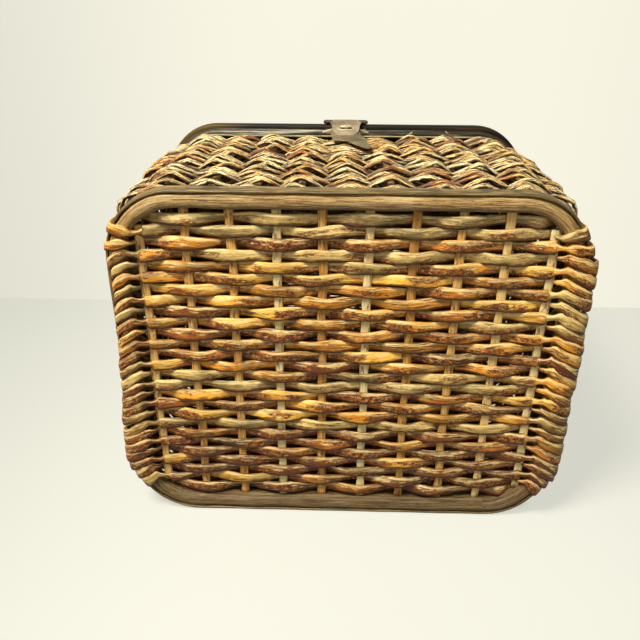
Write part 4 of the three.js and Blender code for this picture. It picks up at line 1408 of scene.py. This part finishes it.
# The strap's knuckle on the pin: places as shares of half its length, and the radius at each
KNUCKLE_HALF_LENGTH = 0.0129
KNUCKLE = ((-1, 0.0020), (-0.97, 0.0025), (-0.5, 0.0026), (0.5, 0.0026), (0.97, 0.0025), (1, 0.0020))
KNUCKLE_SIDES = 20
# A head of the pin: places from its middle, and the radius at each
PIN_HEAD = ((0.0224, 0.0010), (0.0226, 0.0017), (0.0236, 0.0019), (0.0242, 0.0012))
# The turn button: half the sizes of its head, the head's height over the strap, and its post
HEAD_HALF_SIZES = (0.0068, 0.0029, 0.0016)
HEAD_RISE = 0.0032
POST_RADIUS = 0.0021
POST_LENGTH = 0.0062
# The keeper's tail: its edge towards the bottom and its edge towards the rail, across the basket
TAIL_NEAR = (
    (-0.0153, 0.205), (-0.0128, 0.1746), (-0.006, 0.1766), (0.0003, 0.1752), (0.0064, 0.1616),
    (0.0135, 0.1458), (0.0215, 0.1345), (0.0247, 0.1411),
)
TAIL_FAR = (
    (-0.0153, 0.213), (-0.0150, 0.243), (0.0150, 0.243), (0.0156, 0.2114),
    (0.0195, 0.1875), (0.0247, 0.1425),
)
TAIL_STEPS = 80
TAIL_HALF_THICKNESS = 0.0006
TAIL_SQUARENESS = 9.0
# The tail rises over the wicker from here on
TAIL_BEND_Y = 0.213
TAIL_SLOPE = 0.04
# An ear of the keeper on the right: where it starts, how far it runs, the way it is wide and its section
EAR_ROOT = Vector((0.0115, 0.2350, 0.3158))
EAR_RUN = Vector((0.0135, 0.0012, -0.0012))
EAR_ACROSS = Vector((0, -0.35, 0.94)).normalized()
EAR_STEPS = 12
EAR_HALF_WIDTH = 0.0031
EAR_TIP = 0.0005
EAR_HALF_THICKNESS = 0.0010
# The keeper's rivet on the right, and half the sizes of its head
RIVET_PLACE = Vector((0.0205, 0.241, 0.3166))
RIVET_HALF_SIZES = (0.0022, 0.0022, 0.0010)


def add_knob(bm, place, half_sizes, segments):
    """A rounded head with half sizes along the three axes."""
    matrix = Matrix.Translation(place) @ Matrix.Diagonal((*half_sizes, 1))
    bmesh.ops.create_uvsphere(bm, u_segments=segments, v_segments=segments // 2, radius=1, matrix=matrix)


class BASKET_OT_clasp(bpy.types.Operator):
    """Adds the clasp's strap, turn button, keeper and pin."""

    bl_idname = "basket.clasp"
    bl_label = "Clasp"

    def execute(self, context):
        settings = context.scene.basket_clasp
        pin = sum(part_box("clasp_pin"), Vector()) / 2
        hung = Matrix.Translation(pin) @ Matrix.Rotation(settings.tilt, 4, "X")
        self.add_strap(settings, hung)
        self.add_lip(settings, hung)
        self.add_button(settings, hung)
        self.add_keeper_tail(settings)
        self.add_keeper_ears()
        heads = [
            [round_section(pin + Vector((side * x, 0, 0)), radius) for x, radius in PIN_HEAD]
            for side in (-1, 1)
        ]
        lay_all("clasp_pin_heads", heads, "lid", ["clasp_pin"], paint_fittings, 12, 2.2)
        return {"FINISHED"}

    def add_strap(self, settings, hung):
        """The sheet that swings on the pin, with its knuckle and its slot."""
        outline = [(x, y) for x, y in STRAP_EDGE] + [(-x, y) for x, y in reversed(STRAP_EDGE[1:-1])]
        slot = []
        for n in range(SLOT_POINTS):
            angle = -math.tau * n / SLOT_POINTS
            y = SLOT_HALF_WIDTH * math.sin(angle) - settings.knob_from_pin
            slot.append((SLOT_HALF_LENGTH * math.cos(angle), y))
        curve = bpy.data.curves.new("strap_outline", "CURVE")
        curve.dimensions = "2D"
        curve.fill_mode = "BOTH"
        curve.resolution_u = CURVE_STEPS
        curve.bevel_depth = settings.sheet * BEVEL_SHARE
        curve.bevel_resolution = BEVEL_STEPS
        curve.extrude = settings.sheet / 2 - curve.bevel_depth
        for points in (outline, slot):
            spline = curve.splines.new("BEZIER")
            spline.bezier_points.add(len(points) - 1)
            for knot, (x, y) in zip(spline.bezier_points, points):
                knot.co = (x, y, settings.strap_rise)
                knot.handle_left_type = knot.handle_right_type = "AUTO"
            spline.use_cyclic_u = True
        blank = bpy.data.objects.new("clasp_blank", curve)
        bpy.context.scene.collection.objects.link(blank)
        bm = bmesh.new()
        bm.from_mesh(blank.evaluated_get(bpy.context.evaluated_depsgraph_get()).to_mesh())
        bpy.data.objects.remove(blank)
        bpy.data.curves.remove(curve)
        bmesh.ops.remove_doubles(bm, verts=bm.verts, dist=FILL_GAP)
        knuckle = [
            round_section(X_AXIS * share * KNUCKLE_HALF_LENGTH, radius) for share, radius in KNUCKLE
        ]
        lay_rod(bm, knuckle, KNUCKLE_SIDES, ROUND)
        bm.transform(hung)
        sheet = finish_mesh("strap_sheet", bm, "strap", ["clasp_strap"], False)
        dress(sheet, "clasp", paint_clasp)

    def add_lip(self, settings, hung):
        """The raised edge round the strap's slot."""
        stations = []
        for n in range(LIP_STEPS + 1):
            angle = math.tau * (n % LIP_STEPS) / LIP_STEPS
            outward = Vector((math.cos(angle), math.sin(angle), 0))
            y = LIP_HALF_WIDTH * outward.y - settings.knob_from_pin
            centre = Vector((LIP_HALF_LENGTH * outward.x, y, settings.strap_rise + LIP_RISE))
            stations.append(Station(centre, outward, *LIP_SECTION, PLAIN_TONE, PLAIN_TONE))
        bm = bmesh.new()
        lay_rod(bm, stations, LIP_SIDES, ROUND, True)
        bm.transform(hung)
        dress(finish_mesh("clasp_lip", bm, "strap", None), "ears", paint_ears)

    def add_button(self, settings, hung):
        """The turn button: a long head on a post through the slot."""
        bm = bmesh.new()
        add_knob(bm, (0, -settings.knob_from_pin, settings.strap_rise + HEAD_RISE), HEAD_HALF_SIZES, 32)
        post = Matrix.Translation((0, -settings.knob_from_pin, settings.strap_rise))
        bmesh.ops.create_cone(
            bm, cap_ends=True, segments=24, radius1=POST_RADIUS, radius2=POST_RADIUS, depth=POST_LENGTH,
            matrix=post,
        )
        bm.transform(hung)
        dress(finish_mesh("button_head", bm, "button", ["turn_button"]), "ears", paint_ears)

    def add_keeper_tail(self, settings):
        """The plate under the button, which spreads over the wicker like a fish's tail."""
        sheet = []
        for share in shares(TAIL_STEPS):
            x = blend(TAIL_NEAR[0][0], TAIL_NEAR[-1][0], share)
            near, far = (
                Vector((x, y, settings.plate_z + TAIL_SLOPE * max(0.0, TAIL_BEND_Y - y)))
                for y in (course(TAIL_NEAR, x), course(TAIL_FAR, x))
            )
            run = far - near
            middle = (near + far) / 2
            half_sizes = (run.length / 2, TAIL_HALF_THICKNESS)
            sheet.append(Station(middle, run.normalized(), *half_sizes, PLAIN_TONE, PLAIN_TONE))
        nodes = ["keeper_plate"]
        lay_all("keeper_tail", [sheet], "basket", nodes, paint_tail, 24, TAIL_SQUARENESS)

    def add_keeper_ears(self):
        """The two ears of the plate and the rivets that hold them to the body's rail."""
        mirrors = [Matrix.Diagonal((side, 1, 1)) for side in (-1, 1)]
        ears = []
        for mirror in mirrors:
            ear = []
            for share in shares(EAR_STEPS):
                half = EAR_HALF_WIDTH * (1 - share**2) + EAR_TIP
                place = mirror @ (EAR_ROOT + EAR_RUN * share)
                ear.append(Station(place, EAR_ACROSS, half, EAR_HALF_THICKNESS, PLAIN_TONE, PLAIN_TONE))
            ears.append(ear)
        lay_all("keeper_ears", ears, "basket", None, paint_ears, 16, 2.2)
        names = (("keeper_rivet_left", "keeper_rivet_1"), ("keeper_rivet_right", "keeper_rivet_2"))
        for mirror, (name, node) in zip(mirrors, names):
            bm = bmesh.new()
            add_knob(bm, mirror @ RIVET_PLACE, RIVET_HALF_SIZES, 20)
            dress(finish_mesh(name, bm, "basket", [node]), "fittings", paint_fittings)


# The two nails of the body's rail: a radius, and where each starts and ends
NAILS = (
    (0.0008, ((0.0688, 0.2368, 0.3132), (0.0722, 0.2362, 0.3152))),
    (0.0006, ((0.1075, 0.2362, 0.3166), (0.1115, 0.2362, 0.3134))),
)
FITTINGS = ("hinge", "clasp_leaf", "clasp_rivet")


class BASKET_OT_fittings(bpy.types.Operator):
    """Finishes the hinges and adds the nails of the body's rail."""

    bl_idname = "basket.fittings"
    bl_label = "Hinges and nails"

    def execute(self, context):
        for node in sorted(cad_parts):
            if node.startswith(FITTINGS):
                dress(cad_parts[node], "fittings", paint_fittings)
        nails = [[round_section(Vector(place), radius) for place in ends] for radius, ends in NAILS]
        lay_all("rail_nails", nails, "basket", None, paint_ears, 10, ROUND)
        return {"FINISHED"}


# Stage


class StageSettings(bpy.types.PropertyGroup):
    camera: bpy.props.FloatVectorProperty(
        name="Camera", description="Where the camera stands", default=(-0.006, -0.524, 0.472),
        subtype="TRANSLATION",
    )
    pitch: bpy.props.FloatProperty(
        name="Pitch", description="How far the camera looks down", default=math.radians(26.93),
        subtype="ANGLE",
    )
    yaw: bpy.props.FloatProperty(
        name="Yaw", description="How far the camera looks to the right", default=math.radians(-1.59),
        subtype="ANGLE",
    )
    roll: bpy.props.FloatProperty(
        name="Roll", description="How far the camera leans", default=math.radians(0.20), subtype="ANGLE"
    )
    lens: bpy.props.FloatProperty(
        name="Lens", description="Focal length on a 36 mm sensor", default=38.8125, unit="CAMERA"
    )
    wall_y: bpy.props.FloatProperty(
        name="Backdrop", description="Distance of the backdrop", default=0.4655, unit="LENGTH"
    )
    floor: bpy.props.FloatVectorProperty(
        name="Floor", description="The floor's paper", default=tint(240, 240, 227),
        size=4, min=0, max=1, subtype="COLOR",
    )
    backdrop: bpy.props.FloatVectorProperty(
        name="Backdrop paper", description="The backdrop's paper", default=tint(248, 244, 226),
        size=4, min=0, max=1, subtype="COLOR",
    )


# Painted shade: the paper grows darker towards the sides: where it starts to, and over what length, left and
# right
PAPER_LEFT = (0.62, 0.55)
PAPER_RIGHT = (0.95, 0.75)
# A painted shadow under the basket: half its width, its depth, and how soft its edges are
SHADOW_PATCH_HALF_WIDTH = 0.19
SHADOW_PATCH_DEPTH = 0.27
SHADOW_PATCH_EDGE = 0.04
SHADOW_PATCH_NEAR_EDGE = 0.015
PAINTED_SHADOW_COLOUR = tint(30, 20, 12)
FLOOR_SHADE = tint(214, 216, 204)
BACKDROP_SHADE = tint(222, 221, 207)
# What the paper looks like to the basket itself
UNSEEN_PAPER = tint(150, 148, 140)
BLACK = tint(0, 0, 0)
FLOOR_GLOW = 0.72
BACKDROP_GLOW = 1.0
# The floor lies this far under the basket
FLOOR_GAP = 0.0004
PAPER_HALF_SIZE = 4
# Each lamp: its name, place, power in watts and size
LAMPS = (
    ("overhead", (-0.6, -0.55, 1.6), 38.0, 0.5),
    ("side", (-1.5, -1.3, 0.9), 3.0, 0.8),
    ("front", (0.7, -1.9, 0.9), 5.0, 1.0),
    ("right", (1.6, 0.7, 0.9), 8.0, 0.9),
    ("rear", (0.9, 1.9, 1.0), 22.0, 0.9),
)
LAMP_COLOUR = (1.0, 0.94, 0.83)
LAMP_TARGET = Vector((0, 0.1, 0.1))
# The sky as the camera sees it and as it lights the basket, and how strong that light is
SEEN_SKY = tint(240, 238, 222)
SKY_LIGHT = tint(255, 254, 251)
SKY_STRENGTH = 0.13
SENSOR_WIDTH = 36
CLIP_START = 0.01


def paint_paper(colour, dark, glow):
    """Plain paper that looks pale to the camera and throws little light back on the basket, with painted
    shade towards its sides and a painted shadow under the basket.
    """

    def paint(wire):
        place = wire.coordinates()
        across, deep = place.part("X"), place.part("Y")
        # Painted shade: the paper darkens towards its left and right sides
        left = (across + PAPER_LEFT[0]).step(0.0, PAPER_LEFT[1])
        right = (PAPER_RIGHT[0] - across).step(0.0, PAPER_RIGHT[1])
        seen = wire.mix(left * right, dark, colour)
        seen = wire.mix(wire.noise(place, 5.0, 3.0, 0.6) * 0.06, seen, dark)
        # Painted shadow: a dark patch on the floor under the basket
        beside = (SHADOW_PATCH_HALF_WIDTH - across.absolute()).step(0.0, SHADOW_PATCH_EDGE)
        beneath = beside * deep.step(0.0, SHADOW_PATCH_NEAR_EDGE) * (SHADOW_PATCH_DEPTH - deep).step(0.0, SHADOW_PATCH_EDGE)
        seen = wire.mix(beneath, seen, PAINTED_SHADOW_COLOUR)
        direct = wire.node("ShaderNodeLightPath", {}, {}, "Is Camera Ray")
        mirrored = wire.node("ShaderNodeLightPath", {}, {}, "Is Glossy Ray")
        shown = wire.math("MAXIMUM", direct, mirrored * 0.5)
        lit = wire.mix(shown, UNSEEN_PAPER, seen)
        return {
            "Base Color": wire.mix(glow, lit, BLACK),
            "Emission Color": wire.mix(shown, BLACK, seen),
            "Emission Strength": glow,
            "Roughness": 0.9,
            "Alpha": 1.0 - wire.node("ShaderNodeNewGeometry", {}, {}, "Backfacing"),
        }

    return paint


class BASKET_OT_stage(bpy.types.Operator):
    """Adds the floor, the backdrop, the lights and the camera."""

    bl_idname = "basket.stage"
    bl_label = "Stage"

    def execute(self, context):
        settings = context.scene.basket_stage
        flat = Matrix.Translation((0, 0, -FLOOR_GAP))
        self.add_paper("floor", flat, paint_paper(tuple(settings.floor), FLOOR_SHADE, FLOOR_GLOW))
        upright = Matrix.Translation((0, settings.wall_y, 0)) @ Matrix.Rotation(math.pi / 2, 4, "X")
        paint = paint_paper(tuple(settings.backdrop), BACKDROP_SHADE, BACKDROP_GLOW)
        self.add_paper("backdrop", upright, paint)
        for lamp in LAMPS:
            self.add_lamp(*lamp)
        self.add_sky()
        self.add_camera(settings)
        context.scene.view_settings.view_transform = "Standard"
        return {"FINISHED"}

    def add_paper(self, name, place, paint):
        bm = bmesh.new()
        bmesh.ops.create_grid(bm, x_segments=1, y_segments=1, size=PAPER_HALF_SIZE, matrix=place)
        mesh = bpy.data.meshes.new(name)
        bm.to_mesh(mesh)
        bm.free()
        paper = bpy.data.objects.new(name, mesh)
        bpy.context.scene.collection.objects.link(paper)
        dress(paper, name, paint)

    def add_lamp(self, name, place, energy, size):
        lamp = bpy.data.lights.new(name, "AREA")
        lamp.energy = energy
        lamp.color = LAMP_COLOUR
        lamp.size = size
        lamp_object = bpy.data.objects.new(name, lamp)
        lamp_object.location = place
        lamp_object.rotation_euler = (LAMP_TARGET - Vector(place)).to_track_quat("-Z", "Y").to_euler()
        bpy.context.scene.collection.objects.link(lamp_object)

    def add_sky(self):
        world = bpy.data.worlds.new("studio")
        world.use_nodes = True
        wire = Wire(world.node_tree)
        direct = wire.node("ShaderNodeLightPath", {}, {}, "Is Camera Ray")
        strength = direct * (1 - SKY_STRENGTH) + SKY_STRENGTH
        sky = world.node_tree.nodes["Background"]
        world.node_tree.links.new(wire.mix(direct, SKY_LIGHT, SEEN_SKY).socket, sky.inputs["Color"])
        world.node_tree.links.new(strength.socket, sky.inputs["Strength"])
        bpy.context.scene.world = world

    def add_camera(self, settings):
        """The camera where the photographer stood."""
        pitch, yaw, roll = settings.pitch, settings.yaw, settings.roll
        ahead = Vector((math.sin(yaw), math.cos(yaw), 0))
        forward = ahead * math.cos(pitch) - Z_AXIS * math.sin(pitch)
        level = forward.cross(Z_AXIS).normalized()
        upright = level.cross(forward)
        right = level * math.cos(roll) + upright * math.sin(roll)
        above = upright * math.cos(roll) - level * math.sin(roll)
        camera = bpy.data.cameras.new("photo_view")
        camera.lens = settings.lens
        camera.sensor_width = SENSOR_WIDTH
        camera.clip_start = CLIP_START
        camera_object = bpy.data.objects.new("photo_view", camera)
        turn = Matrix((right, above, -forward)).transposed().to_4x4()
        camera_object.matrix_world = Matrix.Translation(settings.camera) @ turn
        bpy.context.scene.collection.objects.link(camera_object)
        bpy.context.scene.camera = camera_object


# Panel and start


class VIEW3D_PT_basket(bpy.types.Panel):
    """Lists the steps that build the basket."""

    bl_label = "Basket"
    bl_idname = "VIEW3D_PT_basket"
    bl_space_type = "VIEW_3D"
    bl_region_type = "UI"
    bl_category = "Basket"

    def draw(self, context):
        for step in STEPS:
            self.layout.operator(step.bl_idname)


SETTINGS = {
    "basket_colours": ColourSettings,
    "basket_bottom": BottomSettings,
    "basket_wall": WallSettings,
    "basket_clasp": ClaspSettings,
    "basket_stage": StageSettings,
}
STEPS = (
    BASKET_OT_bottom_hoop,
    BASKET_OT_bottom_stakes,
    BASKET_OT_bottom_weave,
    BASKET_OT_wall_stakes,
    BASKET_OT_wall_weave,
    BASKET_OT_rails,
    BASKET_OT_lid_panel,
    BASKET_OT_clasp,
    BASKET_OT_fittings,
    BASKET_OT_stage,
)


def register():
    for name, settings in SETTINGS.items():
        bpy.utils.register_class(settings)
        setattr(bpy.types.Scene, name, bpy.props.PointerProperty(type=settings))
    for step in STEPS:
        bpy.utils.register_class(step)
    bpy.utils.register_class(VIEW3D_PT_basket)


def unregister():
    bpy.utils.unregister_class(VIEW3D_PT_basket)
    for step in reversed(STEPS):
        bpy.utils.unregister_class(step)
    for name, settings in SETTINGS.items():
        delattr(bpy.types.Scene, name)
        bpy.utils.unregister_class(settings)


def main():
    register()
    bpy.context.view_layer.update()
    bpy.ops.basket.bottom_hoop()
    bpy.ops.basket.bottom_stakes()
    bpy.ops.basket.bottom_weave()
    bpy.ops.basket.wall_stakes()
    bpy.ops.basket.wall_weave()
    bpy.ops.basket.rails()
    bpy.ops.basket.lid_panel()
    bpy.ops.basket.clasp()
    bpy.ops.basket.fittings()
    bpy.ops.basket.stage()


if __name__ == "__main__":
    main()
